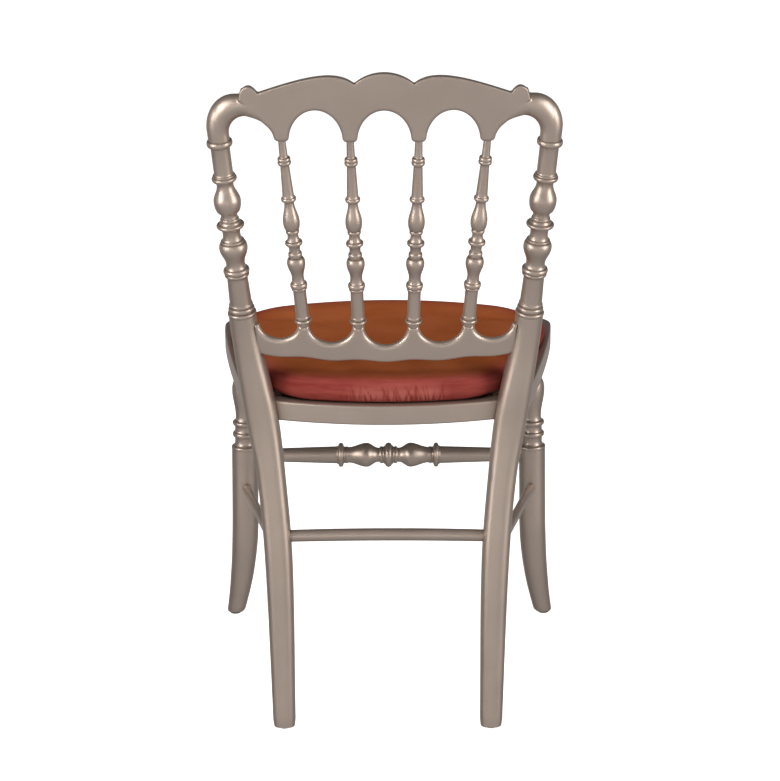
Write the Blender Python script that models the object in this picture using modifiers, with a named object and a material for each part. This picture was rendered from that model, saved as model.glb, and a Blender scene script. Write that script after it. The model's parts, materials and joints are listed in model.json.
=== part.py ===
"""A painted wooden side chair with a turned back, sabre legs and a lift-off seat pad.

Metres, +Z up. The chair faces -Y and its sitter's left is +X. The back line of the seat is modelled at Y = 0,
and the whole chair is then set with the middle of its box over the origin, standing on the floor.
"""

import math

import bmesh
import bpy
from mathutils import Matrix, Vector

NAME = "napoleon_chair"

# Fits: the gap that touching pieces keep, and how deep one piece is housed in another
GAP = 0.0003
SOCKET = 0.014
REAR_RAIL_SOCKET = 0.0105
COLUMN = Vector((0, 0, 1))

# Seat frame: flat rails in a plane that falls towards the back
SEAT_HEIGHT = 0.4425
SEAT_TILT = math.radians(2.4)
RAIL_HEIGHT = 0.026
RAIL_WIDTH = 0.045
RAIL_EDGE = 0.006
SIDE_END_WIDTH = 0.026
SIDE_END_X = 0.183
SIDE_FLARE = 0.11
SIDE_HANDLE_BACK = 0.109
SIDE_HANDLE_FRONT = 0.037
REAR_RAIL_WIDTH = 0.022
REAR_RAIL_BOW = 0.021
FRONT_CORNER_RADIUS = 0.027
FRONT_BOW = 0.023
CORNER_RETURN = 0.035
DOWEL_RADIUS = 0.004
DOWEL_LENGTH = 0.030
DOWEL_SPACING = 0.019

# Seat panel, its corner blocks and their screws
PANEL_THICKNESS = 0.006
PANEL_FIT = 0.0008
PANEL_CORNER_CUT = 0.03
BLOCK_THICKNESS = 0.018
BLOCK_ARM = 0.045
BLOCK_LEG_CLEARANCE = 0.002
SCREW_RADIUS = 0.002
SCREW_HEAD_RADIUS = 0.004
SCREW_HEAD_HEIGHT = 0.0025
SCREW_BITE = 0.004

# Rear legs: an oblong section that bends through the seat, from the floor to the turned post
FOOT_EDGE = 0.003
REAR_FOOT_X, REAR_FOOT_Y = 0.139, 0.0531
REAR_FOOT_WIDE, REAR_FOOT_DEEP = 0.0156, 0.0150
CALF_HEIGHT, CALF_X, CALF_Y = 0.225, 0.1445, 0.019
CALF_WIDE, CALF_DEEP = 0.0184, 0.0182
THIGH_BELOW_SEAT, THIGH_X, THIGH_Y = 0.1025, 0.1535, 0.002
THIGH_WIDE, THIGH_DEEP = 0.0190, 0.0192
HIP_BELOW_SEAT, HIP_X, HIP_Y = 0.0225, 0.1645, -0.0045
HIP_WIDE, HIP_DEEP = 0.0213, 0.0205
LEG_SQUARENESS = 2.7

# Turned posts, which lean back and splay from the top of the legs' blocks
POST_ABOVE_SEAT = 0.1175
POST_X, POST_Y = 0.1862, 0.008
POST_RISE = 0.2433
POST_SPLAY, POST_LEAN = 0.086, 0.2093
POST_BLOCK_RADIUS = 0.0180
POST_SPIGOT_RADIUS, POST_SPIGOT_LENGTH = 0.0075, 0.022
BACK_BOW = 0.018

# The post's turning, as height above its block and radius
POST_TURNING = (
    (0.0, 0.0180), (0.0052, 0.0188), (0.0079, 0.0160), (0.0107, 0.0170), (0.0145, 0.0142),
    (0.0169, 0.0148), (0.0200, 0.0135), (0.0545, 0.0124), (0.0600, 0.0142), (0.0646, 0.0166),
    (0.0690, 0.0146), (0.0745, 0.0115), (0.0965, 0.0176), (0.1055, 0.0147), (0.1096, 0.0121),
    (0.1165, 0.0102), (0.1285, 0.0178), (0.1325, 0.0136), (0.1365, 0.0112), (0.1413, 0.0098),
    (0.1612, 0.0174), (0.1819, 0.0103), (0.1915, 0.0160), (0.1945, 0.0138), (0.2000, 0.0122),
    (0.2335, 0.0122), (0.2390, 0.0164), (0.2433, 0.0145),
)
POST_STRAIGHTS = (0.0545, 0.2335)

# Crest rail: two elbows and a plate with a humped top and an arched lower edge
CREST_RISE = 0.0292
ELBOW_RADIUS, ELBOW_BEND, ELBOW_RISE = 0.0138, 0.030, 0.0140
CREST_THICKNESS, CREST_EDGE = 0.020, 0.005
HUMP_HALF_WIDTH, HUMP_DROP = 0.0368, 0.014
SHOULDER_RISE_X, SHOULDER_RISE_DROP = 0.058, -0.0035
SHOULDER_FALL_X, SHOULDER_FALL_DROP = 0.092, 0.003
KNOB_IN, KNOB_HALF_WIDTH, KNOB_RADIUS, KNOB_STAND = 0.0105, 0.010, 0.0105, 0.0106
ARCH_RISE = 0.0407
PENDANT_HALF_WIDTH = 0.0085
PENDANT_ABOVE_POST = 0.0

# Lower back rail: scallops that rise to a peak under each spindle
LOWER_RAIL_THICKNESS, LOWER_RAIL_TOP_EDGE, LOWER_RAIL_BASE_EDGE = 0.020, 0.0085, 0.004
LOWER_RAIL_PEAK = 0.1095
LOWER_RAIL_BASE = 0.0605
LOWER_RAIL_SAG, LOWER_RAIL_WAVE = 0.006, 0.0013
PEAK_HALF_WIDTH = 0.0075
SCALLOP_DEPTHS = (0.0265, 0.0235, 0.0195)

# Spindles between the lower back rail and the crest
SPINDLE_COUNT = 4
SPINDLE_PITCH_TOP, SPINDLE_PITCH_FOOT = 0.0864, 0.0712
SPINDLE_TENON = 0.012
SPINDLE_FOOT_TENON_RADIUS = 0.0045
SPINDLE_TURNING = (
    (0.0, 0.0084), (0.0061, 0.0107), (0.0093, 0.0080), (0.0116, 0.0088), (0.0140, 0.0079),
    (0.0467, 0.0079), (0.0508, 0.0104), (0.0542, 0.0111), (0.0639, 0.0074), (0.0852, 0.0113),
    (0.0938, 0.0080), (0.0976, 0.0089), (0.1044, 0.0067), (0.1141, 0.0112), (0.1244, 0.0064),
    (0.1288, 0.0086), (0.1313, 0.0079), (0.1423, 0.0107), (0.1677, 0.0060), (0.1732, 0.0096),
    (0.1821, 0.0066), (0.2172, 0.0052), (0.2237, 0.0086), (0.2286, 0.0082), (0.2305, 0.0052),
    (0.2530, 0.0047),
)
SPINDLE_STRAIGHTS = (0.0467, 0.2172, 0.2530)

# Front legs: turned above, sabre feet below
FRONT_LEG_X, FRONT_LEG_FROM_BACK = 0.2085, 0.337
FRONT_SPLAY = 0.0155
SABRE_HEIGHT, SABRE_OUT, SABRE_FORWARD = 0.16, 0.017, 0.018
FRONT_SPIGOT_RADIUS, FRONT_SPIGOT_LENGTH = 0.009, 0.018
FRONT_SHOULDER = 0.2697
FRONT_SHANK = (
    (0.0, 0.0120), (0.033, 0.0141), (0.064, 0.0160), (0.0946, 0.0172), (0.13, 0.0184), (0.20, 0.0184),
)
FRONT_TURNING = (
    (-0.0025, 0.0184), (0.0, 0.0187), (0.0080, 0.0140), (0.0187, 0.0173), (0.0284, 0.0140),
    (0.0359, 0.0173), (0.0461, 0.0129), (0.0863, 0.0181), (0.1030, 0.0122), (0.1160, 0.0165),
    (0.1260, 0.0135), (0.1400, 0.0180), (0.1580, 0.0180),
)
FRONT_STRAIGHTS = (0.1580,)

# Stretchers
FRONT_STRETCHER_HEIGHT = 0.256
FRONT_STRETCHER_END = 0.0078
FRONT_STRETCHER_TURNING = (
    (0.0, 0.0166), (0.0085, 0.0112), (0.0110, 0.0117), (0.0147, 0.0097), (0.0318, 0.0166),
    (0.0596, 0.0104), (0.0700, 0.0158), (0.0765, 0.0108),
)
REAR_STRETCHER_HEIGHT, REAR_STRETCHER_RADIUS = 0.261, 0.0073
SIDE_STRETCHER_BACK, SIDE_STRETCHER_FRONT, SIDE_STRETCHER_RADIUS = 0.236, 0.208, 0.0065

# Glides nailed under the feet
GLIDE_RADIUS, GLIDE_THICKNESS = 0.0085, 0.002
GLIDE_NAIL_RADIUS, GLIDE_NAIL_LENGTH = 0.0015, 0.012

# Seat pad: hook and loop patches, a cloth bottom, a board, foam and a cover
PATCH_LENGTH, PATCH_WIDTH, PATCH_THICKNESS = 0.060, 0.020, 0.001
PATCH_SIDE, PATCH_FRONT, PATCH_BACK = 0.105, 0.27, 0.085
CLOTH_THICKNESS, CLOTH_INSET = 0.001, 0.014
BOARD_THICKNESS, BOARD_INSET = 0.008, 0.024
COVER_THICKNESS = 0.0012
HEM_INSET, SHOULDER_INSET = 0.034, 0.014
PAD_REAR_INSET, PAD_INSET = 0.009, 0.013
PAD_CORNER_START, PAD_CORNER_X, PAD_CORNER_BACK, PAD_CORNER_END = 0.092, 0.150, 0.012, 0.085
PAD_FRONT_RADIUS = 0.045
PAD_SIDE_HEIGHT, PAD_CROWN = 0.018, 0.036
FOAM_INSET = 0.0026

SEGMENTS_POST, SEGMENTS_SPINDLE, SEGMENTS_FRONT = 16, 10, 16
WAVE_FROM = 0.0125
SIDES = (("left", 1), ("right", -1))

PAINT = ("pewter_paint", (0.30, 0.26, 0.22), 0.38, 0.65)
PLYWOOD = ("plywood", (0.06, 0.045, 0.035), 0.8, 0.0)
BEECH = ("beech", (0.55, 0.38, 0.22), 0.7, 0.0)
STEEL = ("steel", (0.55, 0.55, 0.56), 0.35, 1.0)
BLACK_PLASTIC = ("black_plastic", (0.02, 0.02, 0.02), 0.5, 0.0)
BLACK_CLOTH = ("black_cloth", (0.015, 0.013, 0.012), 0.9, 0.0)
COVER = ("rust_cover", (0.24, 0.05, 0.018), 0.6, 0.0)
FOAM = ("foam", (0.75, 0.68, 0.48), 0.95, 0.0)


def clear_scene():
    for obj in list(bpy.data.objects):
        bpy.data.objects.remove(obj, do_unlink=True)


def collection(name):
    made = bpy.data.collections.new(name)
    bpy.context.scene.collection.children.link(made)
    return made


def material(finish):
    name, colour, roughness, metallic = finish
    found = bpy.data.materials.get(name)
    if found:
        return found
    made = bpy.data.materials.new(name)
    made.use_nodes = True
    shader = made.node_tree.nodes["Principled BSDF"]
    shader.inputs["Base Color"].default_value = (*colour, 1)
    shader.inputs["Roughness"].default_value = roughness
    shader.inputs["Metallic"].default_value = metallic
    return made


clear_scene()
PARTS = collection(NAME)
CUTTERS = collection("cutters")


def empty(name, parent=None, place=Matrix()):
    made = bpy.data.objects.new(name, None)
    PARTS.objects.link(made)
    made.parent = parent
    made.matrix_local = place
    return made


ROOT = empty(NAME + "_root")
SEAT_PLANE = Matrix.Translation((0, 0, SEAT_HEIGHT)) @ Matrix.Rotation(-SEAT_TILT, 4, "X")
SEAT = empty("seat_plane", ROOT, SEAT_PLANE)
PAD = empty("pad_slide", ROOT, SEAT_PLANE)


def add(name, data, finish, parent=ROOT, place=Matrix()):
    """A finished object among the parts or, with no finish, among the cutters."""
    made = bpy.data.objects.new(name, data)
    made.parent = parent
    made.matrix_local = place
    if finish:
        data.materials.append(material(finish))
        PARTS.objects.link(made)
    else:
        CUTTERS.objects.link(made)
        made.hide_render = True
        made.display_type = "WIRE"
    return made


def smooth(mesh, angle=math.radians(40)):
    mesh.shade_smooth()
    mesh.set_sharp_from_angle(angle=angle)


def cut(target, cutter):
    modifier = target.modifiers.new(cutter.name, "BOOLEAN")
    modifier.operation = "DIFFERENCE"
    modifier.object = cutter


def loft(name, rings, finish, parent=ROOT):
    """A solid through rings of equally many points, closed at both ends."""
    shape = bmesh.new()
    loops = [[shape.verts.new(point) for point in ring] for ring in rings]
    for lower, upper in zip(loops, loops[1:]):
        for i in range(len(lower)):
            shape.faces.new((lower[i - 1], lower[i], upper[i], upper[i - 1]))
    shape.faces.new(loops[0])
    shape.faces.new(loops[-1])
    bmesh.ops.recalc_face_normals(shape, faces=shape.faces)
    mesh = bpy.data.meshes.new(name)
    shape.to_mesh(mesh)
    shape.free()
    smooth(mesh)
    return add(name, mesh, finish, parent)


def turned(name, profile, segments, finish, parent=ROOT, place=Matrix()):
    """A turned solid about its own Z, from (height, radius) points listed upwards."""
    mesh = bpy.data.meshes.new(name)
    low, high = profile[0][0], profile[-1][0]
    points = [(0, 0, high)] + [(radius, 0, height) for height, radius in reversed(profile)] + [(0, 0, low)]
    mesh.from_pydata(points, [(i, i + 1) for i in range(len(points) - 1)], [])
    made = add(name, mesh, finish, parent, place)
    screw = made.modifiers.new("turning", "SCREW")
    screw.steps = screw.render_steps = segments
    screw.use_merge_vertices = True
    screw.merge_threshold = 0.00001
    screw.use_smooth_shade = True
    return made


def flat_piece(name, outline, low, high, edge, finish, parent=SEAT, side=1):
    """A plate between two heights, with rounded edges, from its outline in plan."""
    curve = bpy.data.curves.new(name, "CURVE")
    curve.dimensions = "2D"
    curve.fill_mode = "BOTH"
    curve.extrude = (high - low) / 2 - edge
    curve.bevel_depth = edge
    curve.bevel_resolution = 1
    curve.offset = -edge
    spline = curve.splines.new("POLY")
    spline.points.add(len(outline) - 1)
    spline.use_cyclic_u = True
    for point, (x, y) in zip(spline.points, outline):
        point.co = (side * x, y, 0, 1)
    drawn = bpy.data.objects.new(name + "_outline", curve)
    bpy.context.scene.collection.objects.link(drawn)
    bpy.context.view_layer.update()
    mesh = bpy.data.meshes.new_from_object(drawn.evaluated_get(bpy.context.evaluated_depsgraph_get()))
    bpy.data.objects.remove(drawn)
    bpy.data.curves.remove(curve)
    shape = bmesh.new()
    shape.from_mesh(mesh)
    bmesh.ops.remove_doubles(shape, verts=shape.verts, dist=0.000005)
    bmesh.ops.recalc_face_normals(shape, faces=shape.faces)
    shape.to_mesh(mesh)
    shape.free()
    smooth(mesh)
    mesh.materials.clear()
    return add(name, mesh, finish, parent, Matrix.Translation((0, 0, (low + high) / 2)))


def along(start, end):
    """A place at start whose Z points to end."""
    turn = (end - start).to_track_quat("Z", "Y").to_matrix().to_4x4()
    return Matrix.Translation(start) @ turn


def rod(name, start, end, radius, finish, parent=ROOT, segments=12):
    """A round rod between two points, as a capped curve."""
    if finish is None:
        length = (end - start).length
        return turned(name, [(0, radius), (length, radius)], segments, None, parent, along(start, end))
    curve = bpy.data.curves.new(name, "CURVE")
    curve.dimensions = "3D"
    curve.bevel_depth = radius
    curve.bevel_resolution = segments // 2 - 2
    curve.use_fill_caps = True
    spline = curve.splines.new("POLY")
    spline.points.add(1)
    spline.points[0].co = (*start, 1)
    spline.points[1].co = (*end, 1)
    return add(name, curve, finish, parent)


def ring(centre, across, deep, wide_by, deep_by, count, squareness=2.0):
    """Points round a superellipse in the plane of two directions."""
    points = []
    for i in range(count):
        angle = math.tau * (i + 0.5) / count
        c, s = math.cos(angle), math.sin(angle)
        u = math.copysign(abs(c) ** (2 / squareness), c) * wide_by
        v = math.copysign(abs(s) ** (2 / squareness), s) * deep_by
        points.append(centre + across * u + deep * v)
    return points


def square_to(tangent):
    """Two directions square to a tangent, the first as near X as can be."""
    tangent = tangent.normalized()
    across = (Vector((1, 0, 0)) - tangent * tangent.x).normalized()
    return across, tangent.cross(across)


def swept(keys, straights, stretch=1.0):
    """A turning's (height, radius) keys, with a half wave wherever a long run isn't a straight one."""
    points = []
    for (low, start), (high, end) in zip(keys, keys[1:]):
        points.append((low * stretch, start))
        if high - low > WAVE_FROM and high not in straights:
            for t in (0.25, 0.75):
                wave = (1 - math.cos(math.pi * t)) / 2
                points.append(((low + (high - low) * t) * stretch, start + (end - start) * wave))
    points.append((keys[-1][0] * stretch, keys[-1][1]))
    return points


def hermite(keys, height, last_slope):
    """Values on a smooth curve through (height, values) keys."""
    rows = list(keys)

    def slope(i):
        if i == len(rows) - 1:
            return last_slope
        before, after = rows[max(i - 1, 0)], rows[i + 1]
        return [(b - a) / (after[0] - before[0]) for a, b in zip(before[1], after[1])]

    i = 0
    while i < len(rows) - 2 and height > rows[i + 1][0]:
        i += 1
    (low, start), (high, end) = rows[i], rows[i + 1]
    span = high - low
    t = (height - low) / span
    bend_in, bend_out = slope(i), slope(i + 1)
    return [
        (2 * t**3 - 3 * t**2 + 1) * a
        + (t**3 - 2 * t**2 + t) * span * m
        + (3 * t**2 - 2 * t**3) * b
        + (t**3 - t**2) * span * n
        for a, m, b, n in zip(start, bend_in, end, bend_out)
    ]


# Rear legs and the back's surface
POST_FOOT = SEAT_HEIGHT + POST_ABOVE_SEAT
POST_HEAD = POST_FOOT + POST_RISE
POST_AXIS = Vector((POST_SPLAY, POST_LEAN, 1))


def post_x(z):
    return POST_X + POST_SPLAY * (z - POST_FOOT)


def back_y(x, z):
    """The middle of the back at a point: it leans with the posts and bows back between them."""
    return POST_Y + POST_LEAN * (z - POST_FOOT) + BACK_BOW * (1 - (x / post_x(z)) ** 2)


def leg_at(z):
    """A rear leg's x, y, half width, half depth and squareness at a height."""
    keys = (
        (0, (REAR_FOOT_X, REAR_FOOT_Y, REAR_FOOT_WIDE, REAR_FOOT_DEEP, LEG_SQUARENESS)),
        (CALF_HEIGHT, (CALF_X, CALF_Y, CALF_WIDE, CALF_DEEP, LEG_SQUARENESS)),
        (SEAT_HEIGHT - THIGH_BELOW_SEAT, (THIGH_X, THIGH_Y, THIGH_WIDE, THIGH_DEEP, LEG_SQUARENESS)),
        (SEAT_HEIGHT - HIP_BELOW_SEAT, (HIP_X, HIP_Y, HIP_WIDE, HIP_DEEP, LEG_SQUARENESS)),
        (POST_FOOT, (POST_X, POST_Y, POST_BLOCK_RADIUS, POST_BLOCK_RADIUS, 2)),
    )
    return hermite(keys, z, (POST_SPLAY, POST_LEAN, 0, 0, 0))


def leg_ring(z, side, count, shrink=0.0):
    x, y, wide, deep, squareness = leg_at(z)
    step = 0.001
    ahead, behind = leg_at(z + step), leg_at(z - step)
    level = z < FOOT_EDGE + GLIDE_THICKNESS + 2 * GAP
    tangent = COLUMN if level else Vector((ahead[0] - behind[0], ahead[1] - behind[1], 2 * step))
    across, deep_way = square_to(tangent)
    points = ring(Vector((x, y, z)), across, deep_way, wide - shrink, deep - shrink, count, squareness)
    return [Vector((side * p.x, p.y, p.z)) for p in points]


def rear_leg(name, side):
    """Leg and post in one piece, with a spigot on top for the crest."""
    sole = GLIDE_THICKNESS + GAP
    rings = [leg_ring(sole, side, SEGMENTS_POST, FOOT_EDGE), leg_ring(sole + FOOT_EDGE, side, SEGMENTS_POST)]
    steps = 10
    rise = POST_FOOT - sole - FOOT_EDGE
    rings += [leg_ring(sole + FOOT_EDGE + rise * i / steps, side, SEGMENTS_POST) for i in range(1, steps)]
    foot = Vector((POST_X, POST_Y, POST_FOOT))
    across, deep = square_to(POST_AXIS)
    profile = [(height, radius) for height, radius in swept(POST_TURNING, POST_STRAIGHTS, post_stretch())]
    profile += [(POST_RISE, POST_SPIGOT_RADIUS), (POST_RISE + POST_SPIGOT_LENGTH, POST_SPIGOT_RADIUS)]
    for height, radius in profile:
        points = ring(foot + POST_AXIS * height, across, deep, radius, radius, SEGMENTS_POST)
        rings.append([Vector((side * p.x, p.y, p.z)) for p in points])
    return loft(name, rings, PAINT)


def post_stretch():
    return POST_RISE / POST_TURNING[-1][0]


# Crest rail
PENDANT_FOOT = POST_HEAD + PENDANT_ABOVE_POST
BEND_START = POST_HEAD + ELBOW_RISE
BEND_LEAN = math.atan(POST_SPLAY)
BEND_X = post_x(BEND_START) - ELBOW_BEND * math.cos(BEND_LEAN)
BEND_Z = BEND_START + ELBOW_BEND * math.sin(BEND_LEAN)
TUBE_TOP = BEND_Z + ELBOW_BEND + ELBOW_RADIUS
TUBE_BASE = BEND_Z + ELBOW_BEND - ELBOW_RADIUS
CREST_TOP = TUBE_TOP + CREST_RISE
KNOB_X = BEND_X - KNOB_IN


def spindle_places(pitch):
    return [pitch * (i - (SPINDLE_COUNT - 1) / 2) for i in range(SPINDLE_COUNT)]


def bezier(a, b, c, d, t):
    s = 1 - t
    return s**3 * a + 3 * s * s * t * b + 3 * s * t * t * c + t**3 * d


def crest_top(x):
    x = abs(x)
    notch = CREST_TOP - HUMP_DROP
    if x <= HUMP_HALF_WIDTH:
        radius = (HUMP_HALF_WIDTH**2 + HUMP_DROP**2) / (2 * HUMP_DROP)
        return CREST_TOP - radius + math.sqrt(radius**2 - x**2)
    if x >= KNOB_X - KNOB_HALF_WIDTH:
        away = min(abs(x - KNOB_X), KNOB_HALF_WIDTH)
        drop = KNOB_RADIUS - math.sqrt(KNOB_RADIUS**2 - away**2)
        return max(TUBE_TOP + KNOB_STAND - drop, TUBE_TOP)
    low, high = 0.0, 1.0
    for _ in range(40):
        t = (low + high) / 2
        found = bezier(HUMP_HALF_WIDTH, SHOULDER_RISE_X, SHOULDER_FALL_X, KNOB_X - KNOB_HALF_WIDTH, t)
        low, high = (t, high) if found < x else (low, t)
    rise, fall = CREST_TOP - SHOULDER_RISE_DROP, CREST_TOP - SHOULDER_FALL_DROP
    return bezier(notch, rise, fall, crest_top(KNOB_X - KNOB_HALF_WIDTH), t)


def crest_base(x):
    """The arches between the pendants, and the half arches that run into the elbows."""
    x = abs(x)
    places = spindle_places(SPINDLE_PITCH_TOP)
    last = places[-1]
    if x > last + PENDANT_HALF_WIDTH:
        along_arch = (BEND_X - x) / (BEND_X - last - PENDANT_HALF_WIDTH)
        return PENDANT_FOOT + (TUBE_BASE - PENDANT_FOOT) * math.sqrt(max(0, 1 - along_arch**2))
    nearest = min(places, key=lambda place: abs(abs(place) - x))
    away = abs(abs(nearest) - x)
    half = SPINDLE_PITCH_TOP / 2 - PENDANT_HALF_WIDTH
    if away <= PENDANT_HALF_WIDTH:
        return PENDANT_FOOT
    along_arch = (SPINDLE_PITCH_TOP / 2 - away) / half
    return PENDANT_FOOT + ARCH_RISE * math.sqrt(max(0, 1 - along_arch**2))


def crest_stations():
    """Where the plate is cut into sections: close at the arches' feet and at every corner of the top."""
    steps = 5
    stations = {0.0, HUMP_HALF_WIDTH, HUMP_HALF_WIDTH / 2, KNOB_X - KNOB_HALF_WIDTH}
    half = SPINDLE_PITCH_TOP / 2 - PENDANT_HALF_WIDTH
    inner, outer = spindle_places(SPINDLE_PITCH_TOP)[SPINDLE_COUNT // 2 :]
    for i in range(steps + 1):
        swing = math.sin(math.pi / 2 * i / steps)
        stations |= {half * swing, (inner + outer) / 2 - half * swing, (inner + outer) / 2 + half * swing}
        stations.add(BEND_X - (BEND_X - outer - PENDANT_HALF_WIDTH) * swing)
        stations.add(KNOB_X + KNOB_HALF_WIDTH * math.sin(math.pi / 2 * (2 * i / steps - 1)))
    stations = sorted(stations)
    kept = [x for x, after in zip(stations, stations[1:]) if after - x > 2 * GAP] + [stations[-1]]
    return [-x for x in reversed(kept) if x > 0] + kept


def section(low, high, half_thick, edge_low, edge_high):
    """A rounded oblong as (height, offset) points, three to a corner."""
    points = []
    corners = (
        (high, half_thick, edge_high, 0),
        (high, -half_thick, edge_high, 1),
        (low, -half_thick, edge_low, 2),
        (low, half_thick, edge_low, 3),
    )
    for height, offset, edge, quarter in corners:
        up, out = math.copysign(edge, height - (low + high) / 2), math.copysign(edge, offset)
        for i in range(3):
            angle = math.pi / 4 * (i if quarter % 2 else 2 - i)
            rise, reach = math.cos(angle) - 1, math.sin(angle) - 1
            points.append((height + up * rise, offset + out * reach))
    return points


def crest_section(x):
    blend = min(1, max(0, (abs(x) - KNOB_X + KNOB_HALF_WIDTH) / (BEND_X - KNOB_X + KNOB_HALF_WIDTH)))
    half = CREST_THICKNESS / 2 + (ELBOW_RADIUS - CREST_THICKNESS / 2) * blend
    edge = CREST_EDGE + (ELBOW_RADIUS - CREST_EDGE) * blend
    edge = min(edge, half, (crest_top(x) - crest_base(x)) / 2)
    rows = section(crest_base(x), crest_top(x), half, edge, edge)
    return [Vector((x, back_y(x, z) + offset, z)) for z, offset in rows]


def elbow_sections(side):
    """Round sections from the plate down to the post."""
    found = []
    turns = 7
    start, end = math.pi / 2, -BEND_LEAN
    for i in range(1, turns + 1):
        angle = start + (end - start) * i / turns
        out, up = math.cos(angle), math.sin(angle)
        found.append(elbow_ring(BEND_X + ELBOW_BEND * out, BEND_Z + ELBOW_BEND * up, out, up, side))
    across, deep = square_to(POST_AXIS)
    head = Vector((POST_X, POST_Y, POST_FOOT)) + POST_AXIS * POST_RISE + POST_AXIS.normalized() * GAP
    rows = section(-ELBOW_RADIUS, ELBOW_RADIUS, ELBOW_RADIUS, ELBOW_RADIUS, ELBOW_RADIUS)
    points = [head + across * radial + deep * offset for radial, offset in rows]
    found.append([Vector((side * p.x, p.y, p.z)) for p in points])
    return found


def elbow_ring(x, z, out, up, side):
    rows = section(-ELBOW_RADIUS, ELBOW_RADIUS, ELBOW_RADIUS, ELBOW_RADIUS, ELBOW_RADIUS)
    points = []
    for radial, offset in rows:
        px, pz = x + radial * out, z + radial * up
        points.append(Vector((side * px, back_y(px, pz) + offset, pz)))
    return points


def crest_rail():
    rings = list(reversed(elbow_sections(-1)))
    rings += [crest_section(x) for x in crest_stations()]
    rings += elbow_sections(1)
    made = loft("crest_rail", rings, PAINT)
    for side_name, side in SIDES:
        head = Vector((post_x(POST_HEAD), POST_Y + POST_LEAN * POST_RISE, POST_HEAD))
        axis = POST_AXIS.normalized()
        start = head - axis * SOCKET
        end = head + POST_AXIS * POST_SPIGOT_LENGTH + axis * GAP
        start.x, end.x = side * start.x, side * end.x
        cut(made, rod("crest_bore_" + side_name, start, end, POST_SPIGOT_RADIUS + GAP, None))
    return made


# Lower back rail
PEAK_Z = SEAT_HEIGHT + LOWER_RAIL_PEAK
RAIL_FACE_Z = SEAT_HEIGHT + (LOWER_RAIL_PEAK + LOWER_RAIL_BASE) / 2
LOWER_RAIL_FACE = leg_at(RAIL_FACE_Z)[0] - leg_at(RAIL_FACE_Z)[2]


def scallops():
    """Middle, half width and depth of the scallops on the +X half."""
    places = [place for place in spindle_places(SPINDLE_PITCH_FOOT) if place > 0]
    edges = [-places[0]] + places + [LOWER_RAIL_FACE + PEAK_HALF_WIDTH]
    found = []
    for start, end, depth in zip(edges, edges[1:], SCALLOP_DEPTHS):
        found.append(((start + end) / 2, (end - start) / 2 - PEAK_HALF_WIDTH, depth))
    return found


def lower_rail_top(x):
    for middle, half, depth in scallops():
        away = abs(abs(x) - middle) / half
        if away < 1:
            return PEAK_Z - depth * math.sqrt(1 - away**2)
    return PEAK_Z


def lower_rail_base(x):
    wave = LOWER_RAIL_WAVE * math.cos(math.tau * x / SPINDLE_PITCH_FOOT)
    return SEAT_HEIGHT + LOWER_RAIL_BASE + LOWER_RAIL_SAG * (x / LOWER_RAIL_FACE) ** 2 - wave


def lower_back_rail(name, grow, finish):
    steps = 4
    stations = {LOWER_RAIL_FACE + SOCKET + grow}
    for middle, half, _ in scallops():
        for i in range(-steps, steps + 1):
            stations.add(middle + half * math.sin(math.pi / 2 * i / steps))
    stations = sorted(x for x in stations if x >= -GAP)
    kept = [x for x, after in zip(stations, stations[1:]) if after - x > 2 * GAP] + [stations[-1]]
    rings = []
    for x in [-x for x in reversed(kept) if x > GAP] + kept:
        low, high = lower_rail_base(x) - grow, lower_rail_top(x) + grow
        half = LOWER_RAIL_THICKNESS / 2 + grow
        rows = section(low, high, half, LOWER_RAIL_BASE_EDGE, min(LOWER_RAIL_TOP_EDGE, (high - low) / 2))
        rings.append([Vector((x, back_y(x, z) + offset, z)) for z, offset in rows])
    return loft(name, rings, finish)


# Spindles
def spindle_ends(i):
    foot_x = spindle_places(SPINDLE_PITCH_FOOT)[i]
    head_x = spindle_places(SPINDLE_PITCH_TOP)[i]
    foot_z, head_z = PEAK_Z + GAP, PENDANT_FOOT - GAP
    foot = Vector((foot_x, back_y(foot_x, foot_z), foot_z))
    return foot, Vector((head_x, back_y(head_x, head_z), head_z))


def spindle(i):
    foot, head = spindle_ends(i)
    length = (head - foot).length
    turning = swept(SPINDLE_TURNING, SPINDLE_STRAIGHTS, length / SPINDLE_TURNING[-1][0])
    radius = SPINDLE_TURNING[-1][1]
    profile = [(-SPINDLE_TENON, SPINDLE_FOOT_TENON_RADIUS), (GAP, SPINDLE_FOOT_TENON_RADIUS)]
    profile += [(max(height, 2 * GAP), size) for height, size in turning]
    profile.append((length + SPINDLE_TENON, radius))
    turned(f"spindle_{i + 1}", profile, SEGMENTS_SPINDLE, PAINT, ROOT, along(foot, head))


def spindle_bores(crest, lower):
    for i in range(SPINDLE_COUNT):
        foot, head = spindle_ends(i)
        axis = (head - foot).normalized()
        low_end = foot - axis * (SPINDLE_TENON + GAP)
        high_end = head + axis * (SPINDLE_TENON + GAP)
        foot_radius, head_radius = SPINDLE_FOOT_TENON_RADIUS + GAP, SPINDLE_TURNING[-1][1] + GAP
        cut(lower, rod(f"foot_bore_{i + 1}", low_end, foot + axis * SPINDLE_TENON, foot_radius, None))
        cut(crest, rod(f"head_bore_{i + 1}", head - axis * SPINDLE_TENON, high_end, head_radius, None))


# Seat frame in its own plane: x across, y back from the seat's back line, z up from the rails' top
REAR_RAIL_FACE = HIP_X - HIP_WIDE
SIDE_END_Y = HIP_Y - HIP_DEEP + SOCKET
FRONT_LEG_Y = -FRONT_LEG_FROM_BACK
FRONT_REACH = FRONT_CORNER_RADIUS + FRONT_BOW
FRONT_Y = FRONT_LEG_Y - FRONT_REACH
FRONT_RADIUS = (FRONT_LEG_X**2 + FRONT_REACH**2 - FRONT_CORNER_RADIUS**2) / (2 * FRONT_BOW)
JOINT_X = FRONT_LEG_X - CORNER_RETURN


def rear_rail_y(x, inset):
    return REAR_RAIL_BOW * (1 - (x / REAR_RAIL_FACE) ** 2) - inset


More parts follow.
